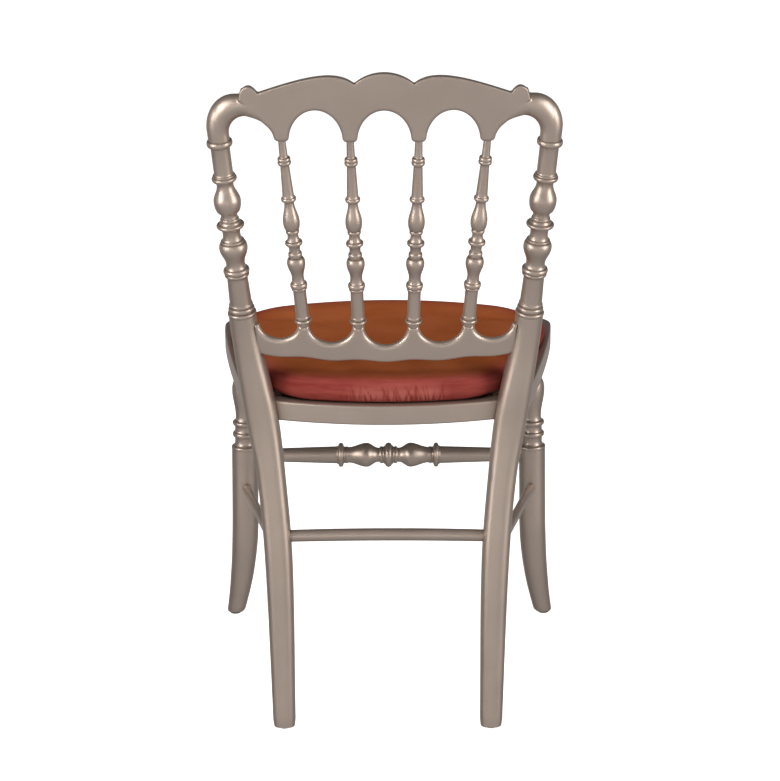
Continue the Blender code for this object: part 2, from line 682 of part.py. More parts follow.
def front_y(x, inset):
    radius = FRONT_RADIUS - inset
    return FRONT_Y + FRONT_RADIUS - math.sqrt(radius**2 - x**2)


def side_edge(t, inset):
    """A point along the seat's left side, t from the rear leg to the front corner, set in from the edge."""
    handles = (
        Vector((SIDE_END_X, SIDE_END_Y)),
        Vector((SIDE_END_X + SIDE_FLARE * SIDE_HANDLE_BACK, SIDE_END_Y - SIDE_HANDLE_BACK)),
        Vector((FRONT_LEG_X + FRONT_CORNER_RADIUS, FRONT_LEG_Y + SIDE_HANDLE_FRONT)),
        Vector((FRONT_LEG_X + FRONT_CORNER_RADIUS, FRONT_LEG_Y)),
    )
    step = 0.001
    low, high = max(0, t - step), min(1, t + step)
    way = (bezier(*handles, high) - bezier(*handles, low)).normalized()
    return bezier(*handles, t) + Vector((way.y, -way.x)) * inset


def side_width(t):
    """Side rails narrow towards the rear leg that they enter."""
    return RAIL_WIDTH - (RAIL_WIDTH - SIDE_END_WIDTH) * (1 - t) ** 3


def inner_corner(extra):
    """How far along the side its inner edge meets the front rail's."""
    steps = 200
    for i in range(steps):
        t = 1 - i / steps
        x, y = side_edge(t, side_width(t) + extra)
        if y > front_y(x, RAIL_WIDTH + extra):
            return t
    return 0.0


def rear_rail_outline(grow):
    end = REAR_RAIL_FACE + REAR_RAIL_SOCKET + grow
    steps = 10
    places = [end * (2 * i / steps - 1) for i in range(steps + 1)]
    outer = [(x, rear_rail_y(x, -grow)) for x in places]
    return outer + [(x, rear_rail_y(x, REAR_RAIL_WIDTH + grow)) for x in reversed(places)]


def side_rail_outline(grow):
    steps, corner_steps = 10, 5
    outer = [side_edge(i / steps, -grow) for i in range(steps + 1)]
    outer[0] = outer[0] + Vector((0, grow))
    bend = math.pi / 2 - math.asin(FRONT_LEG_X / (FRONT_RADIUS - FRONT_CORNER_RADIUS))
    for i in range(1, corner_steps + 1):
        angle = -bend * i / corner_steps
        reach = FRONT_CORNER_RADIUS + grow
        outer.append((FRONT_LEG_X + reach * math.cos(angle), FRONT_LEG_Y + reach * math.sin(angle)))
    end = JOINT_X + GAP / 2
    outer += [(end, front_y(end, 0)), (end, front_y(end, RAIL_WIDTH))]
    places = [inner_corner(0) * (1 - i / steps) for i in range(steps + 1)]
    inner = [side_edge(t, side_width(t) + grow) for t in places]
    inner[-1] = inner[-1] + Vector((0, grow))
    return [tuple(point) for point in outer + inner]


def front_rail_outline():
    end = JOINT_X - GAP / 2
    steps = 12
    places = [end * (2 * i / steps - 1) for i in range(steps + 1)]
    return [(x, front_y(x, 0)) for x in reversed(places)] + [(x, front_y(x, RAIL_WIDTH)) for x in places]


def seat_rails():
    flat_piece("rear_seat_rail", rear_rail_outline(0), -RAIL_HEIGHT, 0, RAIL_EDGE, PAINT)
    front = flat_piece("front_seat_rail", front_rail_outline(), -RAIL_HEIGHT, 0, RAIL_EDGE, PAINT)
    for side_name, side in SIDES:
        outline = side_rail_outline(0)
        name = "side_seat_rail_" + side_name
        rail = flat_piece(name, outline, -RAIL_HEIGHT, 0, RAIL_EDGE, PAINT, SEAT, side)
        top = GAP + FRONT_SPIGOT_LENGTH - RAIL_HEIGHT
        low = Vector((side * FRONT_LEG_X, FRONT_LEG_Y, -RAIL_HEIGHT - SOCKET))
        high = Vector((side * FRONT_LEG_X, FRONT_LEG_Y, top))
        cut(rail, rod("spigot_bore_" + side_name, low, high, FRONT_SPIGOT_RADIUS + GAP, None, SEAT))
        corner_dowels(side_name, side, rail, front)


def corner_dowels(side_name, side, rail, front):
    """Two dowels across each butt joint of the front rail."""
    middle = front_y(JOINT_X, RAIL_WIDTH / 2)
    for i, place in enumerate((middle - DOWEL_SPACING / 2, middle + DOWEL_SPACING / 2)):
        name = f"rail_dowel_{side_name}_{i + 1}"
        inner = Vector((side * (JOINT_X - DOWEL_LENGTH / 2), place, -RAIL_HEIGHT / 2))
        outer = Vector((side * (JOINT_X + DOWEL_LENGTH / 2), place, -RAIL_HEIGHT / 2))
        more = Vector((side * GAP, 0, 0))
        rod(name, inner, outer, DOWEL_RADIUS, BEECH, SEAT, 8)
        bore = rod("bore_" + name, inner - more, outer + more, DOWEL_RADIUS + GAP, None, SEAT, 8)
        cut(rail, bore)
        cut(front, bore)


# Panel and corner blocks
PANEL_TOP = -GAP
PANEL_BASE = PANEL_TOP - PANEL_THICKNESS
BLOCK_TOP = PANEL_BASE - GAP
BLOCK_BASE = BLOCK_TOP - BLOCK_THICKNESS


def panel_outline():
    """Inside the rails, with its corners cut off."""
    inset = RAIL_WIDTH + PANEL_FIT
    corner = inner_corner(PANEL_FIT)
    corner_x, corner_y = side_edge(corner, side_width(corner) + PANEL_FIT)
    steps = 8
    half_front = corner_x - PANEL_CORNER_CUT
    half_rear = REAR_RAIL_FACE - PANEL_CORNER_CUT
    side = []
    for i in range(steps * 8 + 1):
        t = i / (steps * 8)
        x, y = side_edge(t, side_width(t) + PANEL_FIT)
        if corner_y + PANEL_CORNER_CUT < y < HIP_Y - HIP_DEEP - PANEL_CORNER_CUT and i % steps == 0:
            side.append((x, y))
    rear = [half_rear * (2 * i / steps - 1) for i in range(steps + 1)]
    front = [half_front * (1 - 2 * i / steps) for i in range(steps + 1)]
    outline = [(x, rear_rail_y(x, REAR_RAIL_WIDTH + PANEL_FIT)) for x in rear] + side
    outline += [(x, front_y(x, inset)) for x in front]
    return outline + [(-x, y) for x, y in reversed(side)]


def side_at(y):
    """How far along the side rail its inner edge, with a gap, is at a distance back."""
    low, high = 0.0, 1.0
    for _ in range(40):
        t = (low + high) / 2
        low, high = (t, high) if side_edge(t, side_width(t) + GAP)[1] > y else (low, t)
    return t


def side_run(start, end):
    """Points of the side rail's inner edge, with a gap, between two places along it."""
    steps = 4
    places = [start + (end - start) * i / steps for i in range(steps + 1)]
    return [tuple(side_edge(t, side_width(t) + GAP)) for t in places]


def front_block_outline():
    corner = inner_corner(GAP)
    corner_x, corner_y = side_edge(corner, side_width(corner) + GAP)
    steps = 3
    front = [corner_x - BLOCK_ARM * (1 - i / steps) for i in range(steps)]
    outline = [(x, front_y(x, RAIL_WIDTH + GAP)) for x in front]
    return outline + side_run(corner, side_at(corner_y + BLOCK_ARM))


def rear_block_outline():
    near = REAR_RAIL_FACE - BLOCK_LEG_CLEARANCE
    leg_front = HIP_Y - HIP_DEEP - BLOCK_LEG_CLEARANCE
    steps = 3
    rear = [near - BLOCK_ARM * i / steps for i in range(steps + 1)]
    side = side_run(side_at(leg_front - BLOCK_ARM), side_at(leg_front))
    return side + [(x, rear_rail_y(x, REAR_RAIL_WIDTH + GAP)) for x in rear]


def screw_profile(grow):
    head = SCREW_HEAD_RADIUS + grow
    shank = SCREW_RADIUS + grow
    end = BLOCK_THICKNESS + GAP + SCREW_BITE + grow
    return [(-grow, head), (SCREW_HEAD_HEIGHT, shank), (end, shank)]


def panel_and_blocks():
    panel = flat_piece("seat_panel", panel_outline(), PANEL_BASE, PANEL_TOP, GAP, PLYWOOD)
    for end, outline in (("front", front_block_outline()), ("rear", rear_block_outline())):
        centre = sum((Vector(point) for point in outline), Vector((0, 0))) / len(outline)
        for side_name, side in SIDES:
            name = f"{end}_{side_name}"
            block = flat_piece("corner_block_" + name, outline, BLOCK_BASE, BLOCK_TOP, GAP, BEECH, SEAT, side)
            place = Matrix.Translation((side * centre.x, centre.y, BLOCK_BASE))
            turned("panel_screw_" + name, screw_profile(0), 8, STEEL, SEAT, place)
            bore = turned("screw_bore_" + name, screw_profile(GAP), 8, None, SEAT, place)
            cut(block, bore)
            cut(panel, bore)


# Front legs
LEG_TOP_CENTRE = SEAT_PLANE @ Vector((FRONT_LEG_X, FRONT_LEG_Y, -RAIL_HEIGHT - GAP))


def front_leg_at(z):
    bend = max(0, (SABRE_HEIGHT - z) / SABRE_HEIGHT) ** 2
    x = LEG_TOP_CENTRE.x + FRONT_SPLAY * (LEG_TOP_CENTRE.z - z) + SABRE_OUT * bend
    return Vector((x, LEG_TOP_CENTRE.y - SABRE_FORWARD * bend, z))


def front_ring(z, radius, level=False):
    step = 0.001
    tangent = COLUMN if level else front_leg_at(z + step) - front_leg_at(z - step)
    across, deep = square_to(tangent)
    return ring(front_leg_at(z), across, deep, radius, radius, SEGMENTS_FRONT)


def front_leg(name, side):
    sole = GLIDE_THICKNESS + GAP
    foot = FRONT_SHANK[0][1]
    rings = [front_ring(sole, foot - FOOT_EDGE, True), front_ring(sole + FOOT_EDGE, foot, True)]
    rings += [front_ring(z, radius) for z, radius in FRONT_SHANK[1:]]
    stretch = (LEG_TOP_CENTRE.z - FRONT_SHOULDER) / FRONT_TURNING[-1][0]
    turning = swept(FRONT_TURNING, FRONT_STRAIGHTS, stretch)
    rings += [front_ring(FRONT_SHOULDER + height, radius) for height, radius in turning[:-1]]
    normal = SEAT_PLANE.to_3x3() @ COLUMN
    across, deep = square_to(normal)
    spigot = ((0, turning[-1][1]), (0, FRONT_SPIGOT_RADIUS), (FRONT_SPIGOT_LENGTH, FRONT_SPIGOT_RADIUS))
    for rise, radius in spigot:
        rings.append(ring(LEG_TOP_CENTRE + normal * rise, across, deep, radius, radius, SEGMENTS_FRONT))
    return loft(name, [[Vector((side * p.x, p.y, p.z)) for p in points] for points in rings], PAINT)


def shank_radius(z):
    for (low, start), (high, end) in zip(FRONT_SHANK, FRONT_SHANK[1:]):
        if z <= high:
            return start + (end - start) * (z - low) / (high - low)
    return FRONT_SHANK[-1][1]


# Stretchers, each housed in the legs that it joins
def stretchers(rear_legs, front_legs):
    front_stretcher(front_legs)
    x, y, wide, _, _ = leg_at(REAR_STRETCHER_HEIGHT)
    reach = x - wide + SOCKET
    start, end = Vector((-reach, y, REAR_STRETCHER_HEIGHT)), Vector((reach, y, REAR_STRETCHER_HEIGHT))
    rod("rear_stretcher", start, end, REAR_STRETCHER_RADIUS, PAINT)
    more = Vector((GAP, 0, 0))
    bore = rod("rear_stretcher_bore", start - more, end + more, REAR_STRETCHER_RADIUS + GAP, None)
    for leg in rear_legs:
        cut(leg, bore)
    for (side_name, side), rear, front in zip(SIDES, rear_legs, front_legs):
        side_stretcher(side_name, side, rear, front)


def front_stretcher(front_legs):
    axis_end = front_leg_at(FRONT_STRETCHER_HEIGHT)
    reach = axis_end.x - shank_radius(FRONT_STRETCHER_HEIGHT) + SOCKET
    half = swept(FRONT_STRETCHER_TURNING, ()) + [(reach, FRONT_STRETCHER_END)]
    profile = [(-height, radius) for height, radius in reversed(half[1:])] + half
    place = along(Vector((0, axis_end.y, axis_end.z)), axis_end)
    turned("front_stretcher", profile, SEGMENTS_SPINDLE, PAINT, ROOT, place)
    start = Vector((-reach - GAP, axis_end.y, axis_end.z))
    end = Vector((reach + GAP, axis_end.y, axis_end.z))
    last, last_radius = FRONT_STRETCHER_TURNING[-1]
    slope = (last_radius - FRONT_STRETCHER_END) / (reach - last)
    radius = FRONT_STRETCHER_END + slope * SOCKET + GAP
    bore = rod("front_stretcher_bore", start, end, radius, None)
    for leg in front_legs:
        cut(leg, bore)


def side_stretcher(side_name, side, rear_leg_object, front_leg_object):
    x, y, _, deep, _ = leg_at(SIDE_STRETCHER_BACK)
    back, ahead = Vector((x, y, SIDE_STRETCHER_BACK)), front_leg_at(SIDE_STRETCHER_FRONT)
    way = (ahead - back).normalized()
    start = back + way * (deep - SOCKET)
    end = ahead - way * (shank_radius(SIDE_STRETCHER_FRONT) - SOCKET)
    start.x, end.x, way.x = side * start.x, side * end.x, side * way.x
    rod("side_stretcher_" + side_name, start, end, SIDE_STRETCHER_RADIUS, PAINT)
    radius = SIDE_STRETCHER_RADIUS + GAP
    bore = rod("side_stretcher_bore_" + side_name, start - way * GAP, end + way * GAP, radius, None)
    cut(rear_leg_object, bore)
    cut(front_leg_object, bore)


def glide(name, foot, leg):
    """A round glide with its nail, and the hole for the nail."""
    flat = [(0, GLIDE_RADIUS), (GLIDE_THICKNESS, GLIDE_RADIUS)]
    nail = [(GLIDE_THICKNESS, GLIDE_NAIL_RADIUS), (GLIDE_NAIL_LENGTH, GLIDE_NAIL_RADIUS)]
    place = Matrix.Translation((foot.x, foot.y, 0))
    turned(name, flat + nail, SEGMENTS_SPINDLE, BLACK_PLASTIC, ROOT, place)
    top = Vector((foot.x, foot.y, GLIDE_NAIL_LENGTH + GAP))
    cut(leg, rod("bore_" + name, Vector((foot.x, foot.y, 0)), top, GLIDE_NAIL_RADIUS + GAP, None, ROOT, 8))


# Seat pad, in the seat's plane
HOOK_BASE = PANEL_TOP + GAP
LOOP_BASE = HOOK_BASE + PATCH_THICKNESS + GAP
CLOTH_BASE = LOOP_BASE + PATCH_THICKNESS + GAP
HEM_BASE = CLOTH_BASE + CLOTH_THICKNESS + GAP
BOARD_BASE = HEM_BASE + COVER_THICKNESS + 2 * GAP
FOAM_BASE = BOARD_BASE + BOARD_THICKNESS + GAP


def pad_outline():
    """The pad in plan: set in from the rails, with rear corners that pass in front of the legs."""
    first = Vector((PAD_CORNER_START, rear_rail_y(PAD_CORNER_START, PAD_REAR_INSET)))
    knee = Vector((PAD_CORNER_X, -PAD_CORNER_BACK))
    last = side_edge(side_at(-PAD_CORNER_END), PAD_INSET)
    half = [Vector((0, rear_rail_y(0, PAD_REAR_INSET)))]
    for t in (0, 1 / 3, 2 / 3, 1):
        half.append(first.lerp(knee, t).lerp(knee.lerp(last, t), t))
    half += [side_edge(t, PAD_INSET) for t in (0.5, 0.75)]
    corner_x = FRONT_LEG_X + FRONT_CORNER_RADIUS - PAD_INSET - PAD_FRONT_RADIUS
    corner_y = front_y(corner_x, PAD_INSET) + PAD_FRONT_RADIUS
    for turn in (0, 30, 60, 85):
        angle = math.radians(-turn)
        way = Vector((math.cos(angle), math.sin(angle)))
        half.append(Vector((corner_x, corner_y)) + way * PAD_FRONT_RADIUS)
    half += [Vector((x, front_y(x, PAD_INSET))) for x in (FRONT_LEG_X / 2, 0)]
    return half + [Vector((-p.x, p.y)) for p in reversed(half[1:-1])]


def drawn_in(outline, distance):
    """The outline moved in by a distance, square to itself."""
    points = []
    for i, point in enumerate(outline):
        way = (outline[(i + 1) % len(outline)] - outline[i - 1]).normalized()
        points.append(point + Vector((way.y, -way.x)) * distance)
    return points


def cushion_cage(base, inset, lift):
    """Rings of a crowned cushion from its hem to its middle, as points in the seat's plane."""
    outline = pad_outline()
    side, crown = base + PAD_SIDE_HEIGHT - lift, base + PAD_CROWN - lift
    levels = (
        (HEM_INSET, base),
        (HEM_INSET / 8, base),
        (0, base + 0.35 * (side - base)),
        (SHOULDER_INSET / 10, side),
        (SHOULDER_INSET, side + 0.6 * (crown - side)),
    )
    rings = [[Vector((p.x, p.y, z)) for p in drawn_in(outline, more + inset)] for more, z in levels]
    middle = sum(outline, Vector((0, 0))) / len(outline)
    last = rings[-1]
    inner = [Vector(((p.x + middle.x) / 2, (p.y + middle.y) / 2, crown - 0.001)) for p in last]
    return rings + [inner], Vector((middle.x, middle.y, crown))


def cushion(name, base, inset, lift, finish, closed):
    """A subdivided cushion. Left open under its hem, it is a cover that gets a thickness."""
    rings, top = cushion_cage(base, inset, lift)
    shape = bmesh.new()
    loops = [[shape.verts.new(point) for point in points] for points in rings]
    for lower, upper in zip(loops, loops[1:]):
        for i in range(len(lower)):
            shape.faces.new((lower[i - 1], lower[i], upper[i], upper[i - 1]))
    peak = shape.verts.new(top)
    last = loops[-1]
    for i in range(0, len(last), 2):
        shape.faces.new((last[i - 2], last[i - 1], last[i], peak))
    if closed:
        shape.faces.new(loops[0])
    bmesh.ops.recalc_face_normals(shape, faces=shape.faces)
    if peak.link_faces[0].normal.z < 0:
        bmesh.ops.reverse_faces(shape, faces=shape.faces)
    mesh = bpy.data.meshes.new(name)
    shape.to_mesh(mesh)
    shape.free()
    mesh.shade_smooth()
    made = add(name, mesh, finish, PAD)
    levels = made.modifiers.new("soft", "SUBSURF")
    levels.levels = levels.render_levels = 1
    if not closed:
        wall = made.modifiers.new("cloth", "SOLIDIFY")
        wall.thickness = COVER_THICKNESS
        wall.offset = -1
    return made


def patches():
    """Pairs of hook and loop strips that hold the pad on the panel."""
    half_length, half_width = PATCH_LENGTH / 2, PATCH_WIDTH / 2
    for end, back in (("front", PATCH_FRONT), ("rear", PATCH_BACK)):
        for side_name, side in SIDES:
            x, y = side * PATCH_SIDE, -back
            outline = [(x - half_width, y - half_length), (x + half_width, y - half_length)]
            outline += [(x + half_width, y + half_length), (x - half_width, y + half_length)]
            name = f"{end}_{side_name}"
            hook_top, loop_top = HOOK_BASE + PATCH_THICKNESS, LOOP_BASE + PATCH_THICKNESS
            flat_piece("hook_patch_" + name, outline, HOOK_BASE, hook_top, GAP, BLACK_CLOTH)
            flat_piece("loop_patch_" + name, outline, LOOP_BASE, loop_top, GAP, BLACK_CLOTH, PAD)


def seat_pad():
    outline = pad_outline()
    cloth = [tuple(point) for point in drawn_in(outline, CLOTH_INSET)]
    board = [tuple(point) for point in drawn_in(outline, BOARD_INSET)]
    flat_piece("pad_bottom_cloth", cloth, CLOTH_BASE, CLOTH_BASE + CLOTH_THICKNESS, GAP, BLACK_CLOTH, PAD)
    flat_piece("pad_board", board, BOARD_BASE, BOARD_BASE + BOARD_THICKNESS, GAP, PLYWOOD, PAD)
    cushion("pad_cover", HEM_BASE, 0, 0, COVER, False)
    cushion("pad_foam", FOAM_BASE, FOAM_INSET, FOAM_BASE - HEM_BASE + FOAM_INSET, FOAM, True)
    patches()


def set_on_origin():
    """Moves the chair so that the middle of its box is over the origin."""
    bpy.context.view_layer.update()
    graph = bpy.context.evaluated_depsgraph_get()
    reach = []
    for obj in PARTS.objects:
        if obj.type != "EMPTY":
            done = obj.evaluated_get(graph)
            reach += [(obj.matrix_world @ vertex.co).y for vertex in done.to_mesh().vertices]
            done.to_mesh_clear()
    ROOT.location.y = -(min(reach) + max(reach)) / 2


def main():
    rear_legs = [rear_leg("rear_leg_" + side_name, side) for side_name, side in SIDES]
    front_legs = [front_leg("front_leg_" + side_name, side) for side_name, side in SIDES]
    crest = crest_rail()
    lower = lower_back_rail("lower_back_rail", 0, PAINT)
    for i in range(SPINDLE_COUNT):
        spindle(i)
    spindle_bores(crest, lower)
    seat_rails()
    panel_and_blocks()
    lower_socket = lower_back_rail("lower_back_rail_socket", GAP, None)
    low, high = -RAIL_HEIGHT - GAP, GAP
    rear_socket = flat_piece("rear_rail_socket", rear_rail_outline(GAP), low, high, RAIL_EDGE, None)
    for (side_name, side), leg in zip(SIDES, rear_legs):
        outline = side_rail_outline(GAP)
        name = "side_rail_socket_" + side_name
        side_socket = flat_piece(name, outline, low, high, RAIL_EDGE, None, SEAT, side)
        for socket in (lower_socket, rear_socket, side_socket):
            cut(leg, socket)
        foot = leg_at(0)
        glide("rear_glide_" + side_name, Vector((side * foot[0], foot[1], 0)), leg)
    stretchers(rear_legs, front_legs)
    for (side_name, side), leg in zip(SIDES, front_legs):
        foot = front_leg_at(0)
        glide("front_glide_" + side_name, Vector((side * foot.x, foot.y, 0)), leg)
    seat_pad()
    set_on_origin()


main()
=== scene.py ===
"""Looks of a painted side chair: fine turned and carved wood, a gathered seat pad and a studio.

Shapes are drawn in the seat's own lines, with Y = 0 at the back of the seat, and moved onto the frame as
they are added. The chair faces -Y, and the camera stands behind it.
"""

import json
import math
import random

import bmesh
import bpy
import numpy
from mathutils import Euler, Matrix, Vector


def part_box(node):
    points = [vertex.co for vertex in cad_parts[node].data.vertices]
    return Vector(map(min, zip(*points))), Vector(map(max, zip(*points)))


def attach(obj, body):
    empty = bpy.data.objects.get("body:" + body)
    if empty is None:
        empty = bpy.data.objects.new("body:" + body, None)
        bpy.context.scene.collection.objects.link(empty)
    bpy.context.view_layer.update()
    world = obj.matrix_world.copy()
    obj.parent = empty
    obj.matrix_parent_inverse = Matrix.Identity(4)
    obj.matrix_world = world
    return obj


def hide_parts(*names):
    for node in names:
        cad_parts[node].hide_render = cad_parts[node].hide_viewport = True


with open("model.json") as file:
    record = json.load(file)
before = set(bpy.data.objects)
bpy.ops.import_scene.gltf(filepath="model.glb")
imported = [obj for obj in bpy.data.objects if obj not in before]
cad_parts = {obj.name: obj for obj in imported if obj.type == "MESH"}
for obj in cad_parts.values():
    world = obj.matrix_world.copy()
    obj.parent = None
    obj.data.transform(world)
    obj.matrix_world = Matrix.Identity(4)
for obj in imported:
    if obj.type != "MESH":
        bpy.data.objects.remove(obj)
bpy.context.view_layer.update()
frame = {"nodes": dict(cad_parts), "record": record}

# How a turning runs from one (height, radius) point to the next
LINE = "line"
WAVE = "wave"
ROUND = "round"
COVE = "cove"

# Meshes: sides of a turned piece, steps along each of its curves and across a rounded edge, and how near
# points have to be to become one
TURNED_SIDES = 40
TURNING_STEPS = 6
EDGE_STEPS = 5
WELD = 0.000005

# Seat frame
SEAT_HEIGHT = 0.4425
SEAT_TILT = math.radians(2.4)
RAIL_HEIGHT = 0.0272
RAIL_WIDTH = 0.045
RAIL_EDGE = 0.003
SIDE_END_WIDTH = 0.026
SIDE_END_X = 0.183
SIDE_END_Y = -0.011
SIDE_FLARE = 0.24
SIDE_HANDLE_BACK = 0.109
SIDE_HANDLE_FRONT = 0.055
REAR_RAIL_WIDTH = 0.022
REAR_RAIL_BOW = 0.021
REAR_RAIL_FACE = 0.1432
REAR_RAIL_SOCKET = 0.0105
FRONT_LEG_X = 0.2085
FRONT_LEG_Y = -0.337
FRONT_CORNER_RADIUS = 0.027
FRONT_BOW = 0.023
CORNER_RETURN = 0.035
JOINT_GAP = 0.0003

# Rear legs
SOLE = 0.0023
FOOT_EDGE = 0.003
FOOT_SOFT = 0.3 * FOOT_EDGE
# How far a foot's lowest rings are set in and raised
FOOT_RINGS = ((FOOT_EDGE, 0), (FOOT_SOFT, FOOT_SOFT))
POST_FOOT = 0.56
POST_X = 0.1862
POST_Y = 0.008
# Height, then x, y, half width, half depth and squareness
LEG_KEYS = (
    (0.0, (0.139, 0.0531, 0.0150, 0.0150, 2.7)),
    (0.225, (0.1445, 0.019, 0.0184, 0.0182, 2.7)),
    (0.34, (0.1535, 0.002, 0.0190, 0.0192, 2.7)),
    (0.42, (0.1645, -0.0045, 0.0213, 0.0205, 2.7)),
    (POST_FOOT, (POST_X, POST_Y, 0.0180, 0.0180, 2.0)),
)
POST_RISE = 0.2433
POST_SPLAY = 0.086
POST_LEAN = 0.2093
POST_SPIGOT_RADIUS = 0.0075
POST_SPIGOT_LENGTH = 0.020
BACK_BOW = 0.018
POST_TURNING = (
    (0.0, 0.0180, LINE), (0.0036, 0.0178, LINE), (0.0064, 0.0189, ROUND), (0.0092, 0.0160, ROUND),
    (0.0124, 0.0172, ROUND), (0.0157, 0.0150, ROUND), (0.0182, 0.0157, ROUND), (0.0203, 0.0147, ROUND),
    (0.0232, 0.0144, COVE), (0.0554, 0.0134, LINE), (0.0588, 0.0153, COVE), (0.0608, 0.0161, ROUND),
    (0.0626, 0.0153, ROUND), (0.0660, 0.0170, ROUND), (0.0696, 0.0146, ROUND), (0.0762, 0.0122, COVE),
    (0.0975, 0.0184, WAVE), (0.1056, 0.0149, ROUND), (0.1071, 0.0153, ROUND), (0.1086, 0.0138, ROUND),
    (0.1172, 0.0114, COVE), (0.1256, 0.0152, COVE), (0.1289, 0.0180, ROUND), (0.1314, 0.0150, ROUND),
    (0.1330, 0.0134, COVE), (0.1348, 0.0116, LINE), (0.1369, 0.0122, ROUND), (0.1390, 0.0109, ROUND),
    (0.1418, 0.0106, WAVE), (0.1464, 0.0122, COVE), (0.1619, 0.0175, ROUND), (0.1830, 0.0108, WAVE),
    (0.1889, 0.0140, COVE), (0.1924, 0.0161, ROUND), (0.1948, 0.0141, ROUND), (0.1963, 0.0143, ROUND),
    (0.1977, 0.0129, ROUND), (0.2006, 0.0122, COVE), (0.2335, 0.0122, LINE), (0.2350, 0.0137, COVE),
    (0.2392, 0.0165, ROUND), (0.2433, 0.0144, ROUND),
)

# Crest rail
CREST_HALF = 0.0125
CREST_EDGE = 0.0042
CREST_TOP_EDGE = 0.0010
CREST_RISE = 0.0292
CREST_FALL = 0.036
CREST_FALL_REACH = 0.034
CREST_LIFT = 0.0032
CREST_CAP = 0.055
ELBOW_RADIUS = 0.0138
ELBOW_BEND = 0.030
ELBOW_RISE = 0.0140
ELBOW_OUTER = (0.0369, 0.0429)
ELBOW_INNER = (0.0215, 0.0229)
ELBOW_BLEND = 0.040
ELBOW_PROUD = 0.0002
ELBOW_OVERLAP = 0.001
ELBOW_ROOT_RAISE = 0.0004
ELBOW_ROOT_SQUARE = 6
ELBOW_DIVE = 0.0008
ELBOW_DIVE_START = 0.25
ELBOW_DIVE_RUN = 0.4
HUMP_HALF_WIDTH = 0.0368
HUMP_DROP = 0.014
SHOULDER_RISE_X = 0.058
SHOULDER_RISE = 0.0035
SHOULDER_FALL_X = 0.092
SHOULDER_FALL = -0.003
KNOB_STAND = 0.0110
KNOB_RIM = 0.010
KNOB_EDGE = (
    (-0.0220, -0.0086), (-0.0170, -0.0030), (-0.0118, 0.0), (-0.0064, -0.0012), (-0.0014, -0.0056),
    (0.0007, -0.0125), (0.0024, -0.0200),
)
ARCH_RISE = 0.0410
PENDANT_HALF_WIDTH = 0.0092
PENDANT_CORNER = 0.003
PLATE_REACH = 0.7 * ELBOW_BLEND

# Carving: the mesh's step, how far and how often it is softened, and how a rounded top fades out at its ends
CARVING_VOXEL = 0.00095
CARVING_FACTOR = 0.5
CREST_PASSES = 3
LOWER_PASSES = 4
ROUND_PAST = 0.002
ROUND_FADE = 0.006

# Lower back rail
LOWER_HALF = 0.010
LOWER_TOP_EDGE = 0.0065
LOWER_BASE_EDGE = 0.003
LOWER_BASE_HEIGHT = 0.018
LOWER_FALL = 0.021
LOWER_FALL_REACH = 0.016
LOWER_LIFT = 0.002
LOWER_PEAK = 0.1095
LOWER_BASE = 0.0605
LOWER_SAG = 0.006
LOWER_WAVE = 0.0013
LOWER_FACE = 0.1606
LOWER_SOCKET = 0.012
LOWER_RUN = 0.0034
LOWER_END_RISE = 0.001
PEAK_HALF_WIDTH = 0.0075
SCALLOP_DEPTHS = (0.0265, 0.0235, 0.0195)

# Spindles
SPINDLES = 4
SPINDLE_PITCH_TOP = 0.0854
SPINDLE_PITCH_FOOT = 0.0712
SPINDLE_TENON = 0.010
SPINDLE_TENON_RADIUS = 0.0042
SPINDLE_TURNING = (
    (0.0, 0.0084, LINE), (0.0034, 0.0088, LINE), (0.0061, 0.0108, ROUND), (0.0087, 0.0084, ROUND),
    (0.0110, 0.0091, ROUND), (0.0131, 0.0085, ROUND), (0.0150, 0.0084, COVE), (0.0486, 0.0084, LINE),
    (0.0506, 0.0096, COVE), (0.0522, 0.0101, ROUND), (0.0536, 0.0095, ROUND), (0.0566, 0.0112, ROUND),
    (0.0604, 0.0094, ROUND), (0.0686, 0.0078, COVE), (0.0874, 0.0119, WAVE), (0.0956, 0.0081, ROUND),
    (0.0998, 0.0090, ROUND), (0.1032, 0.0073, ROUND), (0.1066, 0.0071, COVE), (0.1134, 0.0103, COVE),
    (0.1157, 0.0113, ROUND), (0.1182, 0.0102, ROUND), (0.1268, 0.0069, COVE), (0.1284, 0.0072, LINE),
    (0.1313, 0.0087, ROUND), (0.1338, 0.0077, ROUND), (0.1447, 0.0108, ROUND), (0.1702, 0.0063, WAVE),
    (0.1728, 0.0080, COVE), (0.1758, 0.0097, ROUND), (0.1784, 0.0083, ROUND), (0.1852, 0.0072, COVE),
    (0.2198, 0.0057, LINE), (0.2216, 0.0064, COVE), (0.2246, 0.0086, ROUND), (0.2268, 0.0078, ROUND),
    (0.2292, 0.0083, ROUND), (0.2320, 0.0064, ROUND), (0.2334, 0.0053, COVE), (0.2530, 0.0047, LINE),
)

